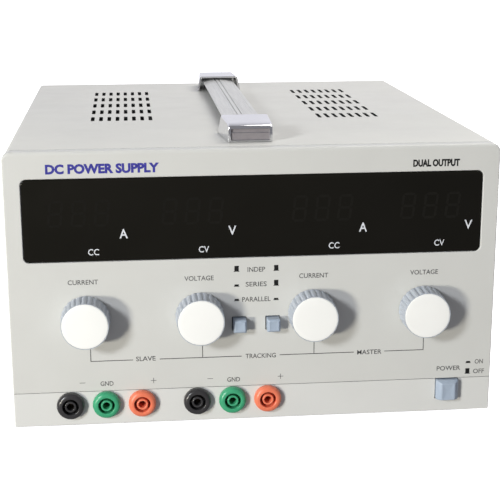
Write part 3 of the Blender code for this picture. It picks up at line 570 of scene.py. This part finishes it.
def digitShape(leftX, lowZ, y):
    # one seven-bar digit, leaning a little to the right
    size = digitSize
    shape = bmesh.new()
    half, bar = size["height"] / 2, size["bar"]
    lean = math.tan(math.radians(size["lean"]))

    def bone(ax, az, bx, bz):
        along = Vector((bx - ax, bz - az)).normalized()
        across = Vector((-along.y, along.x)) * bar / 2
        start, end = Vector((ax, az)) + along * size["gap"], Vector((bx, bz)) - along * size["gap"]
        points = [start, start + along * bar / 2 + across, end - along * bar / 2 + across, end,
                  end - along * bar / 2 - across, start + along * bar / 2 - across]
        outline = [(leftX + p.x + p.y * lean, lowZ + p.y) for p in points]
        prism(shape, outline, y - size["proud"], y + 0.2)
    right, top = size["width"] - bar, size["height"] - bar
    for z in (bar / 2, half, top + bar / 2):
        bone(bar / 2, z, bar / 2 + right, z)
    for x in (bar / 2, bar / 2 + right):
        for z0, z1 in ((bar / 2, half), (half, top + bar / 2)):
            bone(x, z0, x, z1)
    return shape


def makeDigits():
    for number, leftX in enumerate(digitLeftX):
        shape = digitShape(leftX, digitSize["lowZ"], windowLow.y)
        digits = newPiece(f"displayDigits{number + 1}", shape, unlitSegment)
        runTree(digits, copiesInRow, {"Count": digitSize["count"], "Step": (digitSize["pitch"] * mm, 0, 0)})
        settle(digits, "case", "display_plastic")


makeWindow()
makeDigits()
print("display made")


# printing on the front, in millimetres from the middle of the lower edge of the face
printSize = {"thick": 0.06, "proud": 0.03, "caption": 2.6, "weight": 0.008, "line": 0.42, "lineZ": 36.2,
             "signHalf": 1.5, "signLine": 0.28, "iconHalf": 1.15, "iconBase": 1.5, "windowWeight": 0.012}
titles = {"left": ("DC POWER SUPPLY", -79, 140.2, 58, 5.2), "right": ("DUAL OUTPUT", 95.5, 139.6, 25, 4.0),
          "weight": 0.05}
captions = (("CURRENT", -91.0, 80.0, 15.8), ("VOLTAGE", -30.2, 80.4, 15.5), ("CURRENT", 30.9, 80.1, 15.6),
            ("VOLTAGE", 90.8, 80.2, 15.2), ("INDEP", 0.2, 84.4, 9.4), ("SERIES", 0.1, 76.3, 11.2),
            ("PARALLEL", 0.2, 68.0, 15.2), ("SLAVE", -59.2, 36.7, 10.4), ("TRACKING", 2.5, 36.1, 16.4),
            ("MASTER", 61.9, 36.0, 13.4), ("POWER", 106.3, 25.0, 13.2), ("ON", 123.2, 28.3, 4.6),
            ("OFF", 123.3, 22.7, 6.1), ("GND", -80.2, 23.4, 6.9), ("GND", -12.2, 23.1, 6.9))
signPlaces = (("minus", -93.2, 24.2), ("minus", -24.9, 24.0), ("plus", -55.3, 24.2), ("plus", 13.3, 23.9))
iconPlaces = (("out", -10.3, 84.9), ("in", -10.3, 75.7), ("in", -10.3, 67.7), ("out", 10.8, 84.8),
              ("out", 10.8, 76.6), ("in", 10.8, 67.6), ("in", 117.2, 28.0), ("out", 117.0, 22.8))
bracketRuns = ((-88.3, -66.2), (-51.6, -8.0), (13.0, 53.2), (70.4, 91.7))
bracketRises = ((-88.3, 47.0), (-28.8, 43.0), (31.5, 43.0), (91.7, 47.0))
windowLetters = (("A", -69.1, 105.5, 4.3, 5.0), ("V", -12.4, 105.8, 4.2, 5.0), ("A", 57.1, 105.8, 4.3, 5.0),
                 ("V", 114.1, 105.8, 4.2, 5.0), ("CC", -84.9, 96.0, 5.7, 3.4), ("CV", -27.4, 96.0, 5.5, 3.4),
                 ("CC", 41.7, 96.2, 5.7, 3.4), ("CV", 98.6, 96.2, 5.5, 3.4))


def lettering(shape, words, x, z, wide, high, y, weight=0.0):
    # one word, stretched to its printed size and stood up on the face
    curve = bpy.data.curves.new("word", "FONT")
    curve.body = words
    curve.extrude = 0.05
    curve.offset = weight
    curve.resolution_u = 3
    word = bpy.data.objects.new("word", curve)
    bpy.context.scene.collection.objects.link(word)
    graph = bpy.context.evaluated_depsgraph_get()
    mesh = bpy.data.meshes.new_from_object(word.evaluated_get(graph), depsgraph=graph)
    low = Vector([min(v.co[i] for v in mesh.vertices) for i in range(3)])
    top = Vector([max(v.co[i] for v in mesh.vertices) for i in range(3)])
    size, middle = top - low, (low + top) / 2
    scale = Matrix.Diagonal((wide / size.x, high / size.y, printSize["thick"] / size.z, 1))
    stand = Matrix.Rotation(math.radians(90), 4, "X")
    back = y - printSize["proud"] + printSize["thick"] / 2
    mesh.transform(Matrix.Translation((x, back, z)) @ stand @ scale @ Matrix.Translation(-middle))
    part = bmesh.new()
    part.from_mesh(mesh)
    bmesh.ops.remove_doubles(part, verts=part.verts, dist=0.002)
    part.to_mesh(mesh)
    part.free()
    shape.from_mesh(mesh)
    bpy.data.objects.remove(word)
    bpy.data.meshes.remove(mesh)


def flatBar(shape, x0, x1, z0, z1):
    start = -printSize["proud"]
    block(shape, (x0, start, z0), (x1, start + printSize["thick"], z1))


def makePrinting():
    size = printSize
    grey = bmesh.new()
    for words, x, z, wide in captions:
        lettering(grey, words, x, z, wide, size["caption"], 0, size["weight"])
    long, thin = size["signHalf"], size["signLine"] / 2
    for kind, x, z in signPlaces:
        flatBar(grey, x - long, x + long, z - thin, z + thin)
        if kind == "plus":
            flatBar(grey, x - thin, x + thin, z + thin + 0.02, z + long)
            flatBar(grey, x - thin, x + thin, z - long, z - thin - 0.02)
    half = size["line"] / 2
    for x0, x1 in bracketRuns:
        flatBar(grey, x0 - half, x1 + half, size["lineZ"] - half, size["lineZ"] + half)
    for x, top in bracketRises:
        flatBar(grey, x - half, x + half, size["lineZ"] + half + 0.02, top)
    settle(newPiece("facePrinting", grey, greyPrint), "case", "case_plastic")

    black = bmesh.new()
    for kind, x, z in iconPlaces:
        drop, rise = (1.5, 2.9) if kind == "out" else (0.5, 0.9)
        base, foot, half = z - drop, size["iconBase"], size["iconHalf"]
        flatBar(black, x - half, x + half, base + 0.32, base + 0.3 + rise)
        flatBar(black, x - foot, x + foot, base, base + 0.3)
    lettering(black, *titles["right"], 0, titles["weight"])
    settle(newPiece("stateIcons", black, blackPrint), "case", "case_plastic")

    blue = bmesh.new()
    lettering(blue, *titles["left"], 0, titles["weight"])
    settle(newPiece("titlePrinting", blue, bluePrint), "case", "case_plastic")

    white = bmesh.new()
    for words, x, z, wide, high in windowLetters:
        lettering(white, words, x, z, wide, high, windowLow.y, size["windowWeight"])
    settle(newPiece("windowPrinting", white, whitePrint), "case", "smoked_acrylic")


makePrinting()
print("printing made")


# knobs
knobSize = {"flutes": 26, "fluteDepth": 0.65, "segments": 260, "rim": 0.33, "recess": 0.8, "crown": 0.25,
            "edgeRadius": 0.12, "trim": 0.2, "bore": 3.3, "backEdge": 0.3, "web": 3.0}
discSize = {"edge": 0.45, "deep": 0.9, "crown": 0.25}


def makeKnob(name):
    low, high, anchor = faceBox("knob_" + name)
    discLow, discHigh, _anchor = faceBox("knob_disc_" + name)
    size = knobSize
    baseR, discR = high.x - size["trim"], discHigh.x
    back, front, discFront = high.y, low.y, discLow.y
    frontR, soft, heel = discR + size["rim"], size["edgeRadius"], back - size["backEdge"]
    brow, floor, web = front + soft, front + size["recess"], front + size["web"]
    profile = [(size["bore"], back), (baseR - size["backEdge"], back), (baseR, heel)]
    profile += [(baseR + (frontR - baseR) * step / 12, heel + (brow - heel) * step / 12)
                for step in range(1, 13)]
    profile += arc((frontR - soft, brow), (soft, -soft), 0, 4)[1:]
    profile += [(discR + 0.12, front), (discR + 0.06, front + 0.08), (discR + 0.06, floor), (0, floor),
                (0, web), (size["bore"], web)]
    skirt = turned(bmesh.new(), profile, size["segments"])
    knob = newPiece("knobSkirt_" + name, skirt, knobPlastic, anchor)
    runTree(knob, skirtFlutes, {"Centre": tuple(anchor), "Flutes": float(size["flutes"]),
                                "Depth": size["fluteDepth"] * mm, "Inner Radius": (frontR - 0.35) * mm,
                                "Front": anchor.y + (front + 0.7) * mm, "Back": anchor.y + back * mm,
                                "Fade": 0.5 * mm}, 30)
    settle(knob, f"knob_{name}_body", "knob_grey", "knob_" + name)

    edge, deep, crown = discSize["edge"], discSize["deep"], discSize["crown"]
    profile = [(0, discFront + deep), (discR, discFront + deep)]
    profile += arc((discR - edge, discFront + edge + crown), (edge, -edge), 0, 5)
    for step in range(1, 7):
        share = 1 - step / 6
        profile.append(((discR - edge) * share, discFront + crown * share ** 2))
    disc = newPiece("knobDisc_" + name, turned(bmesh.new(), profile, 96), discWhite, anchor)
    settle(disc, f"knob_{name}_body", "disc_white", "knob_disc_" + name)


for output in ("slave", "master"):
    for control in ("current", "voltage"):
        makeKnob(f"{output}_{control}")
print("knobs made")


# push buttons
buttonSize = {"back": 1.5, "rod": 1.7, "rodEnd": 12.0, "blend": 0.12}
trackingShape = {"side": 0.9, "top": 0.9, "bottom": 0.9, "corner": 0.5, "dish": 0.25}
powerShape = {"side": 2.3, "top": 1.3, "bottom": 0.4, "corner": 0.7, "dish": 0.4}


def makeButton(name, node, body, shapeSize):
    low, high, anchor = faceBox(node)
    halfW, halfH, out = high.x, high.z, -low.y
    rod, back, slope = buttonSize["rod"], buttonSize["back"], shapeSize["side"]

    def soft(amount):
        return (amount + math.hypot(amount, buttonSize["blend"])) / 2

    def ring(share, y):
        width, floor = halfW - share * slope, -halfH + share * shapeSize["bottom"]
        ceiling = halfH - share * shapeSize["top"]
        return standing(boxOutline((-width, floor), (width, ceiling), shapeSize["corner"], 0, 5), y)
    rodRing = boxOutline((-rod, -rod), (rod, rod), 0.2, 0, 5)
    rings = [standing(rodRing, buttonSize["rodEnd"]), standing(rodRing, back), ring(0.1, back),
             ring(0, back - 0.25)]
    for step in range(13):                                 # chamfer, with a round shoulder and brow
        along = -0.3 + 1.6 * step / 12
        rings.append(ring(soft(along), -out + slope * soft(1 - along)))
    brow = rings[-1]
    heights = [z for _x, _y, z in brow]
    centreZ = (min(heights) + max(heights)) / 2
    for step in range(1, 9):                               # dished front
        share = step / 9
        sunk = shapeSize["dish"] * (1 - (1 - share) ** 2)
        rings.append([(x * (1 - share), y + sunk, centreZ + (z - centreZ) * (1 - share))
                      for x, y, z in brow])
    button = newPiece(name, loft(bmesh.new(), rings), buttonPlastic, anchor, 30)
    settle(button, body, "button_grey", node)


makeButton("trackingButtonLeft", "tracking_left_button", "tracking_left", trackingShape)
makeButton("trackingButtonRight", "tracking_right_button", "tracking_right", trackingShape)
makeButton("powerButton", "power_button", "power", powerShape)
print("buttons made")


# output sockets
socketSize = {"lip": 2.2, "wellRadius": 4.35, "wellEnd": 4.5, "tubeRadius": 3.05, "hole": 1.95,
              "tubeBack": 0.4, "wallEnd": 6.0, "chamber": 2.9, "back": 15.0, "shank": 4.9, "hidden": 0.3}
poleFinishes = {"negative": ("black", socketBlack), "ground": ("green", socketGreen),
                "positive": ("red", socketRed)}


def makeSocket(output, pole):
    node = f"terminal_{output}_{pole}"
    low, high, anchor = faceBox(node)
    size = socketSize
    collar, front, inside = high.x, low.y, -size["hidden"]
    tubeFront = front + size["tubeBack"]
    corners = [(size["hole"], tubeFront, 0.35), (size["hole"], size["wallEnd"], 0),
               (size["chamber"], size["wallEnd"], 0), (size["chamber"], size["back"], 0),
               (size["shank"], size["back"], 0.3), (size["shank"], inside, 0), (collar, inside, 0.2),
               (collar, front, size["lip"]), (size["wellRadius"], front, 0.35),
               (size["wellRadius"], size["wellEnd"], 0), (size["tubeRadius"], size["wellEnd"], 0),
               (size["tubeRadius"], tubeFront, 0.35)]
    colour, material = poleFinishes[pole]
    shape = turned(bmesh.new(), rounded(corners, 5), 72)
    socket = newPiece(f"socket_{output}_{pole}", shape, material, anchor, 40)
    settle(socket, "case", "terminal_" + colour, node)


for output in ("slave", "master"):
    for pole in poleFinishes:
        makeSocket(output, pole)
print("sockets made")


# top cover
coverSize = {"sheet": 1.0, "bend": 2.5, "edge": 0.4, "setback": 0.5}
slotSize = {"columns": 8, "rows": 5, "pitchX": 4.9, "pitchY": 29.6, "width": 2.2, "length": 17.0,
            "innerX": 51.0, "shiftX": -0.8, "firstY": 113.0, "shadeX": 97, "shadeY": (-60, 100),
            "skin": 0.12}
coverScrews = {"y": (45, 148, 251), "z": 12, "radius": 3.2, "height": 1.1}


def shadeSlots(material, topZ, frontY):
    # dark below the outer skin where the slots are, and on the front edge, as light is lost in the gaps
    tree = material.node_tree
    shader = tree.nodes["Principled BSDF"]
    coat = shader.inputs["Base Color"].links[0].from_socket
    maths = mathsIn(tree)
    place = addNode(tree, "ShaderNodeTexCoord").outputs["Object"]
    x, y, z = addNode(tree, "ShaderNodeSeparateXYZ", {0: place}).outputs
    firstY, lastY = slotSize["shadeY"]
    mask = maths("LESS_THAN", z, topZ - slotSize["skin"] * mm)
    for side in (maths("LESS_THAN", maths("ABSOLUTE", x), slotSize["shadeX"] * mm),
                 maths("LESS_THAN", y, lastY * mm), maths("GREATER_THAN", y, firstY * mm)):
        mask = maths("MULTIPLY", mask, side)
    mask = maths("MAXIMUM", mask, maths("LESS_THAN", y, frontY))
    mix = addNode(tree, "ShaderNodeMix", {"Factor": mask, "A": coat, "B": (0.03, 0.03, 0.032, 1)},
                  data_type="RGBA")
    tree.links.new(mix.outputs["Result"], shader.inputs["Base Color"])


def makeCover():
    low, high = caseBox("top_cover")
    sheet, bend = coverSize["sheet"], coverSize["bend"]

    def ring(inset, y):
        left, right, ceiling = low.x + inset, high.x - inset, high.z - inset
        corners = [(right, low.z, 0), (right, ceiling, bend), (left, ceiling, bend), (left, low.z, 0),
                   (low.x + sheet, low.z, 0), (low.x + sheet, high.z - sheet, bend - sheet),
                   (high.x - sheet, high.z - sheet, bend - sheet), (high.x - sheet, low.z, 0)]
        return standing(rounded(corners, 8), y)
    edge = coverSize["edge"]
    front = low.y + coverSize["setback"]
    rings = [ring(edge, front), ring(edge * 0.3, front + edge * 0.3), ring(0, front + edge),
             ring(0, high.y - edge), ring(edge * 0.3, high.y - edge * 0.3), ring(edge, high.y)]
    cover = newPiece("topCover", loft(bmesh.new(), rings), coverCoat)
    shadeSlots(coverCoat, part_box("top_cover")[1].z, faceY + (front + 0.08) * mm)
    size = slotSize
    middleX = size["innerX"] + (size["columns"] - 1) * size["pitchX"] / 2
    middleY = size["firstY"] + (size["rows"] - 1) * size["pitchY"] / 2
    for side in (-1, 1):
        centre = worldPoint(size["shiftX"] + side * middleX, middleY, high.z - 2 * sheet)
        runTree(cover, sheetSlots, {"Columns": size["columns"], "Rows": size["rows"],
                                    "Pitch X": size["pitchX"] * mm, "Pitch Y": size["pitchY"] * mm,
                                    "Centre": tuple(centre), "Width": size["width"] * mm,
                                    "Length": size["length"] * mm, "Depth": 3 * sheet * mm})
    settle(cover, "case", "painted_steel", "top_cover")
    size = coverScrews
    for side, x, facing in (("Left", low.x, -1), ("Right", high.x, 1)):
        points = [worldPoint(x, y, size["z"]) for y in size["y"]]
        screwRow("coverScrews" + side, points, (facing, 0, 0), size["radius"], size["height"])


makeCover()
print("cover made")


# carrying handle
capSize = {"topHalf": 11.8, "roofFlare": 1.2, "edge": 1.3, "drop": 1.6, "slope": 6.0, "frame": 1.3,
           "recess": 1.5, "roof": 1.0, "length": 34.0, "blunt": 0.35, "plugStep": 0.6, "waist": 4.6}
strapSize = {"ribs": 7, "ribRadius": 0.24, "ribPitch": 1.1, "ribStart": 2.6, "crown": 1.2, "shoulder": 1.0,
             "heel": 0.6, "grooveX": -1.2, "grooveApart": 1.25, "groove": 0.45, "depth": 0.6}


def makeCap(name, node, way):
    low, high = caseBox(node)
    size = capSize
    end = low.y if way > 0 else high.y
    base, top, middle, length = low.z, high.z, (low.x + high.x) / 2, size["length"]
    flare = (high.x - low.x) / 2 - size["topHalf"]

    def ring(along, inset=0.0):
        foot = size["topHalf"] + flare * along / length - inset
        half = size["topHalf"] + size["roofFlare"] * along / length - inset
        ceiling = top - size["drop"] * (1 - min(along / size["slope"], 1)) ** 2 - inset
        corners = [(middle - foot, base, 0.1), (middle + foot, base, 0.1),
                   (middle + half, ceiling, size["edge"]), (middle - half, ceiling, size["edge"])]
        return standing(rounded(corners, 6), end + way * along)
    blunt = size["blunt"]
    stations = [(0, blunt), (blunt * 0.3, blunt * 0.3), (blunt, 0)]
    stations += [(1.0 + 5.0 * step / 6, 0) for step in range(7)]
    stations += [(20, 0), (length - 0.3, 0), (length, 0.25)]
    cap = newPiece(name, loft(bmesh.new(), [ring(along, inset) for along, inset in stations]), chromePlate)
    reach = size["topHalf"] - size["frame"]
    plugTop = top - size["drop"] - 1.2
    start, stop = sorted((end - way * 3, end + way * size["recess"]))
    carve(cap, prism(bmesh.new(), boxOutline((middle - reach, base + 0.7), (middle + reach, plugTop), 0.6),
                     start, stop))
    plug = bmesh.new()
    waist, side = base + size["waist"], reach - 0.15         # the plug's upper third stands further in
    for floor, ceiling, sunk in ((base + 0.85, waist, size["plugStep"]), (waist + 0.25, plugTop - 0.15, 0.1)):
        start, stop = sorted((end + way * (size["recess"] - sunk), end + way * (size["recess"] + 0.4)))
        prism(plug, boxOutline((middle - side, floor), (middle + side, ceiling), 0.35), start, stop)
    settle(newPiece(name + "Plug", plug, capPlug), "case", "chrome")
    strapLow, strapHigh = caseBox("handle_strap")
    y0, y1 = sorted((end + way * 3.5, end + way * (length + 2)))
    carve(cap, block(bmesh.new(), (strapLow.x - 0.3, y0, strapLow.z - 0.3),
                     (strapHigh.x + 0.3, y1, top - size["roof"])))
    mouth = []
    for along in (15, length + 2):
        foot = size["topHalf"] + flare * along / length - size["roof"]
        half = size["topHalf"] + size["roofFlare"] * along / length - size["roof"]
        mouth.append(standing(rounded([(middle - foot, base - 1, 0), (middle + foot, base - 1, 0),
                                       (middle + half, top - size["roof"], 0.8),
                                       (middle - half, top - size["roof"], 0.8)], 5), end + way * along))
    carve(cap, loft(bmesh.new(), mouth))
    settle(cap, "case", "chrome", node)


def makeStrap():
    low, high = caseBox("handle_strap")
    size = strapSize
    middle, half, crown = (low.x + high.x) / 2, (high.x - low.x) / 2, size["crown"]
    shoulder, heel, groove = size["shoulder"], size["heel"], size["groove"]
    flat, eaves = half - shoulder, high.z - crown - shoulder

    def arch(x):
        return high.z - crown * ((x - middle) / flat) ** 2
    points = [(middle - half + heel, low.z), (middle + half - heel, low.z), (middle + half, low.z + heel)]
    points += arc((middle + flat, eaves), (shoulder, shoulder), 0, 8)
    grooves = [middle + size["grooveX"] + side * size["grooveApart"] for side in (1, -1)]
    xs = [middle + flat * (1 - step / 12) for step in range(1, 24)]
    clear = [x for x in xs if all(abs(x - g) > groove + 0.1 for g in grooves)]
    for x in sorted(clear + grooves, reverse=True):
        if x in grooves:
            floor = arch(x) - size["depth"]
            points += [(x + groove, arch(x + groove)), (x + groove * 0.6, floor),
                       (x - groove * 0.6, floor), (x - groove, arch(x - groove))]
        else:
            points.append((x, arch(x)))
    points += arc((middle - flat, eaves), (shoulder, shoulder), 90, 8)
    points.append((middle - half, low.z + heel))
    strap = newPiece("strap", prism(bmesh.new(), points, low.y, high.y), strapPlastic)
    settle(strap, "handle", "silver_plastic", "handle_strap")
    radius, pitch, ribs = size["ribRadius"], size["ribPitch"], size["ribs"]
    for side in (-1, 1):
        x = middle + size["grooveX"] + side * size["ribStart"]
        ring = [(x + radius * math.cos(a), arch(x) - 0.02 + radius * math.sin(a))
                for a in (math.tau * i / 10 for i in range(10))]
        rib = loft(bmesh.new(), [standing(ring, y) for y in (low.y + 1, high.y - 1)])
        row = newPiece("strapRibs" + ("Left" if side < 0 else "Right"), rib, strapPlastic)
        fall = (arch(x + side * pitch * (ribs - 1)) - arch(x)) / (ribs - 1)
        runTree(row, copiesInRow, {"Count": ribs, "Step": (side * pitch * mm, 0, fall * mm)})
        settle(row, "handle", "silver_plastic")


makeCap("handleCapFront", "handle_cap_front", 1)
makeCap("handleCapRear", "handle_cap_rear", -1)
makeStrap()
print("handle made")


# feet
footSize = {"dimple": 3.6, "dimpleDepth": 6.0}


def makeFoot(name, node):
    low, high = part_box(node)
    middle = (low + high) / 2
    anchor = Vector((middle.x, middle.y, low.z))
    radius, height = (high.x - low.x) / 2 / mm, (high.z - low.z) / mm
    corners = [(0, height, 0), (radius, height, 0.3), (radius - 0.2, height * 0.62, 0.3),
               (radius - 0.6, height * 0.58, 0.2), (radius - 0.4, height * 0.5, 0.3), (radius - 1.6, 0, 0.9),
               (footSize["dimple"], 0, 0.5), (footSize["dimple"], footSize["dimpleDepth"], 0.3),
               (0, footSize["dimpleDepth"], 0)]
    foot = newPiece(name, turned(bmesh.new(), rounded(corners, 4), 48, "Z"), rubber, anchor, 40)
    settle(foot, "case", "foot_rubber", node)
    return anchor + Vector((0, 0, (footSize["dimpleDepth"] + 0.05) * mm))


seats = [makeFoot(f"foot{end.title()}{side.title()}", f"foot_{end}_{side}")
         for end in ("front", "rear") for side in ("left", "right")]
screwRow("footScrews", seats, (0, 0, -1), 2.9, 1.2)
print("feet made")


# rear: heat sinks, inlet and fuse drawer
sinkSize = {"base": 5.0, "fins": 11, "thick": 2.2, "ridges": 7, "ridge": 0.25}
inletSize = {"flange": 3.0, "corner": 3.0, "bodyX": 13.5, "bodyZ": 15.5, "wellUp": 4.5, "wellX": 12.2,
             "wellZ": 8.2, "cut": 4.5, "wellDeep": 14, "screwX": 20, "room": 0.3}


def makeSink(side):
    node = "heat_sink_" + side
    low, high = caseBox(node)
    size, thick = sinkSize, sinkSize["thick"]
    base = block(bmesh.new(), low, (high.x, low.y + size["base"], high.z))
    plate = newPiece("sinkBase" + side.title(), base, anodised)
    soften(plate, 0.4)
    settle(plate, "case", "heat_sink_black", node)
    root, tip, ridge = low.y + size["base"] - 0.5, high.y, size["ridge"]
    crests = [root + 1.5 + (tip - root - 3) * step / (size["ridges"] - 1) for step in range(size["ridges"])]
    points = [(low.x, root, 0), (low.x + thick, root, 0)]
    for y in crests:                                        # shallow ridges on both faces
        points += [(low.x + thick, y - 0.8, 0), (low.x + thick - ridge, y, 0)]
    points += [(low.x + thick - 0.3, tip, 0.5), (low.x + 0.3, tip, 0.5)]
    for y in reversed(crests):
        points += [(low.x + ridge, y, 0), (low.x, y - 0.8, 0)]
    shape = prism(bmesh.new(), rounded(points, 3), low.z, high.z, "Z")
    fin = newPiece("sinkFins" + side.title(), shape, anodised)
    pitch = (high.x - low.x - thick) / (size["fins"] - 1)
    runTree(fin, copiesInRow, {"Count": size["fins"], "Step": (pitch * mm, 0, 0)}, 30)
    settle(fin, "case", "heat_sink_black")
    points = [worldPoint(low.x + (gap + 0.5) * pitch + thick / 2, low.y + size["base"], z)
              for gap in (1, 8) for z in (low.z + 10, high.z - 10)]
    screwRow("sinkScrews" + side.title(), points, (0, 1, 0), 2.6, 1.3)


def makeInlet():
    low, high = caseBox("mains_inlet")
    size = inletSize
    x, z, outer = (low.x + high.x) / 2, (low.z + high.z) / 2, high.y - size["flange"]
    flange = prism(bmesh.new(), boxOutline((low.x, low.z), (high.x, high.z), size["corner"]), outer, high.y)
    inlet = newPiece("mainsInlet", flange, blackPlastic)
    soften(inlet, 0.5, 3, 60)
    body = boxOutline((x - size["bodyX"], z - size["bodyZ"]), (x + size["bodyX"], z + size["bodyZ"]), 1.5)
    carve(inlet, prism(bmesh.new(), body, low.y, outer + 1), "UNION")
    wellZ, wellBack = z + size["wellUp"], outer - size["wellDeep"]
    side, rise, cut = size["wellX"], size["wellZ"], size["cut"]
    well = [(x - side, wellZ - rise, 1.0), (x + side, wellZ - rise, 1.0), (x + side, wellZ + rise - cut, 0.8),
            (x + side - cut, wellZ + rise, 0.8), (x - side + cut, wellZ + rise, 0.8),
            (x - side, wellZ + rise - cut, 0.8)]
    carve(inlet, prism(bmesh.new(), rounded(well), wellBack, outer + 30))
    drawerLow, drawerHigh = caseBox("fuse_drawer")
    room = Vector((1, 1, 1)) * size["room"]
    carve(inlet, block(bmesh.new(), drawerLow - room,
                       (drawerHigh.x + size["room"], outer + 9, drawerHigh.z + size["room"])))
    settle(inlet, "case", "black_plastic", "mains_inlet")
    blades = bmesh.new()
    for across, up in ((-7, -2), (0, 2), (7, -2)):
        prism(blades, boxOutline((x + across - 1, wellZ + up - 2), (x + across + 1, wellZ + up + 2), 0.3),
              wellBack - 1, outer - 2.5)
    settle(newPiece("inletBlades", blades, turnedSteel), "case", "shaft_steel")
    points = [worldPoint(x + side * size["screwX"], high.y, z) for side in (-1, 1)]
    screwRow("inletScrews", points, (0, 1, 0), 2.4, 1.0)
    drawer = newPiece("fuseDrawer", block(bmesh.new(), drawerLow, drawerHigh), blackPlastic)
    soften(drawer, 0.35, 3)
    carve(drawer, block(bmesh.new(), drawerLow + Vector((2, 2, 1.2)), drawerHigh + Vector((-2, -3, 2))))
    notch = boxOutline((drawerLow.x + 6, drawerLow.z + 1.5), (drawerHigh.x - 6, drawerHigh.z - 1.5), 0.8)
    carve(drawer, prism(bmesh.new(), notch, drawerHigh.y - 0.8, drawerHigh.y + 3))
    settle(drawer, "drawer", "black_plastic", "fuse_drawer")


makeSink("left")
makeSink("right")
makeInlet()
rearLow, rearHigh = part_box("rear_panel")
screwRow("rearScrews", [Vector((x, rearHigh.y, z)) for x in (rearLow.x + 6 * mm, rearHigh.x - 6 * mm)
                        for z in (rearLow.z + 8 * mm, rearHigh.z - 8 * mm)], (0, 1, 0), 2.8, 1.1)
print("rear made")


# nodes whose shape stays
nodeFinishes = {"rear_panel": powderCoat, "front_subpanel": zincSheet, "bottom_chassis": zincSheet,
                "main_board": circuitBoard, "display_board": circuitBoard, "digit_module_left": blackPlastic,
                "digit_module_right": blackPlastic, "transformer": coreSteel, "capacitor_slave": canSleeve,
                "capacitor_master": canSleeve}
for name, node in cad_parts.items():
    for start, material in (("shaft_", turnedSteel), ("pot_", potCan), ("contact_", brass)):
        if name.startswith(start):
            nodeFinishes[name] = material
    if name.endswith("_switch"):
        nodeFinishes[name] = blackPlastic
for name, material in nodeFinishes.items():
    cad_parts[name].data.materials.clear()
    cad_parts[name].data.materials.append(material)
print("kept nodes finished:", len(nodeFinishes))


# floor, light and camera
stageSize = {"floor": 16.0, "floorGlow": 1.1, "skyFront": 0.25, "skyBack": 0.85}
lamps = (("warmLamp", (-1.31, -1.55, 0.09), (0.30, 0.16), 21.5, (1.0, 0.955, 0.82)),
         ("coolLamp", (-1.31, -1.55, 0.79), (0.32, 0.32), 23.5, (0.92, 0.955, 1.0)),
         ("topLamp", (0.70, 0.45, 1.30), (1.00, 1.00), 15.0, (1.0, 0.985, 0.93)))
cameraView = {"location": (-0.06547, -0.77286, 0.26614), "turn": (75.549, 0.126, -5.754), "lens": 88.26}


def makeStage():
    mesh = bpy.data.meshes.new("floor")
    half = stageSize["floor"] / 2
    shape = bmesh.new()
    corners = ((-half, -half), (half, -half), (half, half), (-half, half))
    shape.faces.new([shape.verts.new((x, y, -0.0001)) for x, y in corners])
    shape.to_mesh(mesh)
    shape.free()
    floor = bpy.data.objects.new("floor", mesh)
    paper = finish("paleFloor", (0.93, 0.93, 0.93), 0.9, mottle=(2, (0.92, 0.92, 0.92)))
    shader = paper.node_tree.nodes["Principled BSDF"]
    shader.inputs["Emission Color"].default_value = (1, 1, 1, 1)
    shader.inputs["Emission Strength"].default_value = stageSize["floorGlow"]
    mesh.materials.append(paper)
    floor.visible_diffuse = floor.visible_glossy = False
    bpy.context.scene.collection.objects.link(floor)

    world = bpy.data.worlds.new("softSky")
    world.use_nodes = True
    tree = world.node_tree
    sky = tree.nodes["Background"]
    sky.inputs["Color"].default_value = (0.93, 0.93, 1.0, 1)
    direction = addNode(tree, "ShaderNodeTexCoord").outputs["Generated"]
    toBack = addNode(tree, "ShaderNodeSeparateXYZ", {0: direction}).outputs[1]
    glow = addNode(tree, "ShaderNodeMapRange", {"Value": toBack, "From Min": 0.35, "From Max": 0.85,
                                                "To Min": stageSize["skyFront"],
                                                "To Max": stageSize["skyBack"]})
    tree.links.new(glow.outputs[0], sky.inputs["Strength"])
    bpy.context.scene.world = world
    for name, place, size, power, colour in lamps:
        lamp = bpy.data.lights.new(name, "AREA")
        lamp.shape = "RECTANGLE"
        lamp.size, lamp.size_y = size
        lamp.energy = power
        lamp.color = colour
        stand = bpy.data.objects.new(name, lamp)
        stand.location = place
        aim = Vector((0, 0, 0.08)) - Vector(place)
        stand.rotation_euler = aim.to_track_quat("-Z", "Y").to_euler()
        bpy.context.scene.collection.objects.link(stand)

    lens = bpy.data.cameras.new("camera")
    lens.lens = cameraView["lens"]
    camera = bpy.data.objects.new("camera", lens)
    camera.location = cameraView["location"]
    camera.rotation_euler = [math.radians(turn) for turn in cameraView["turn"]]
    bpy.context.scene.collection.objects.link(camera)
    bpy.context.scene.camera = camera
    bpy.context.scene.view_settings.view_transform = "Standard"


makeStage()
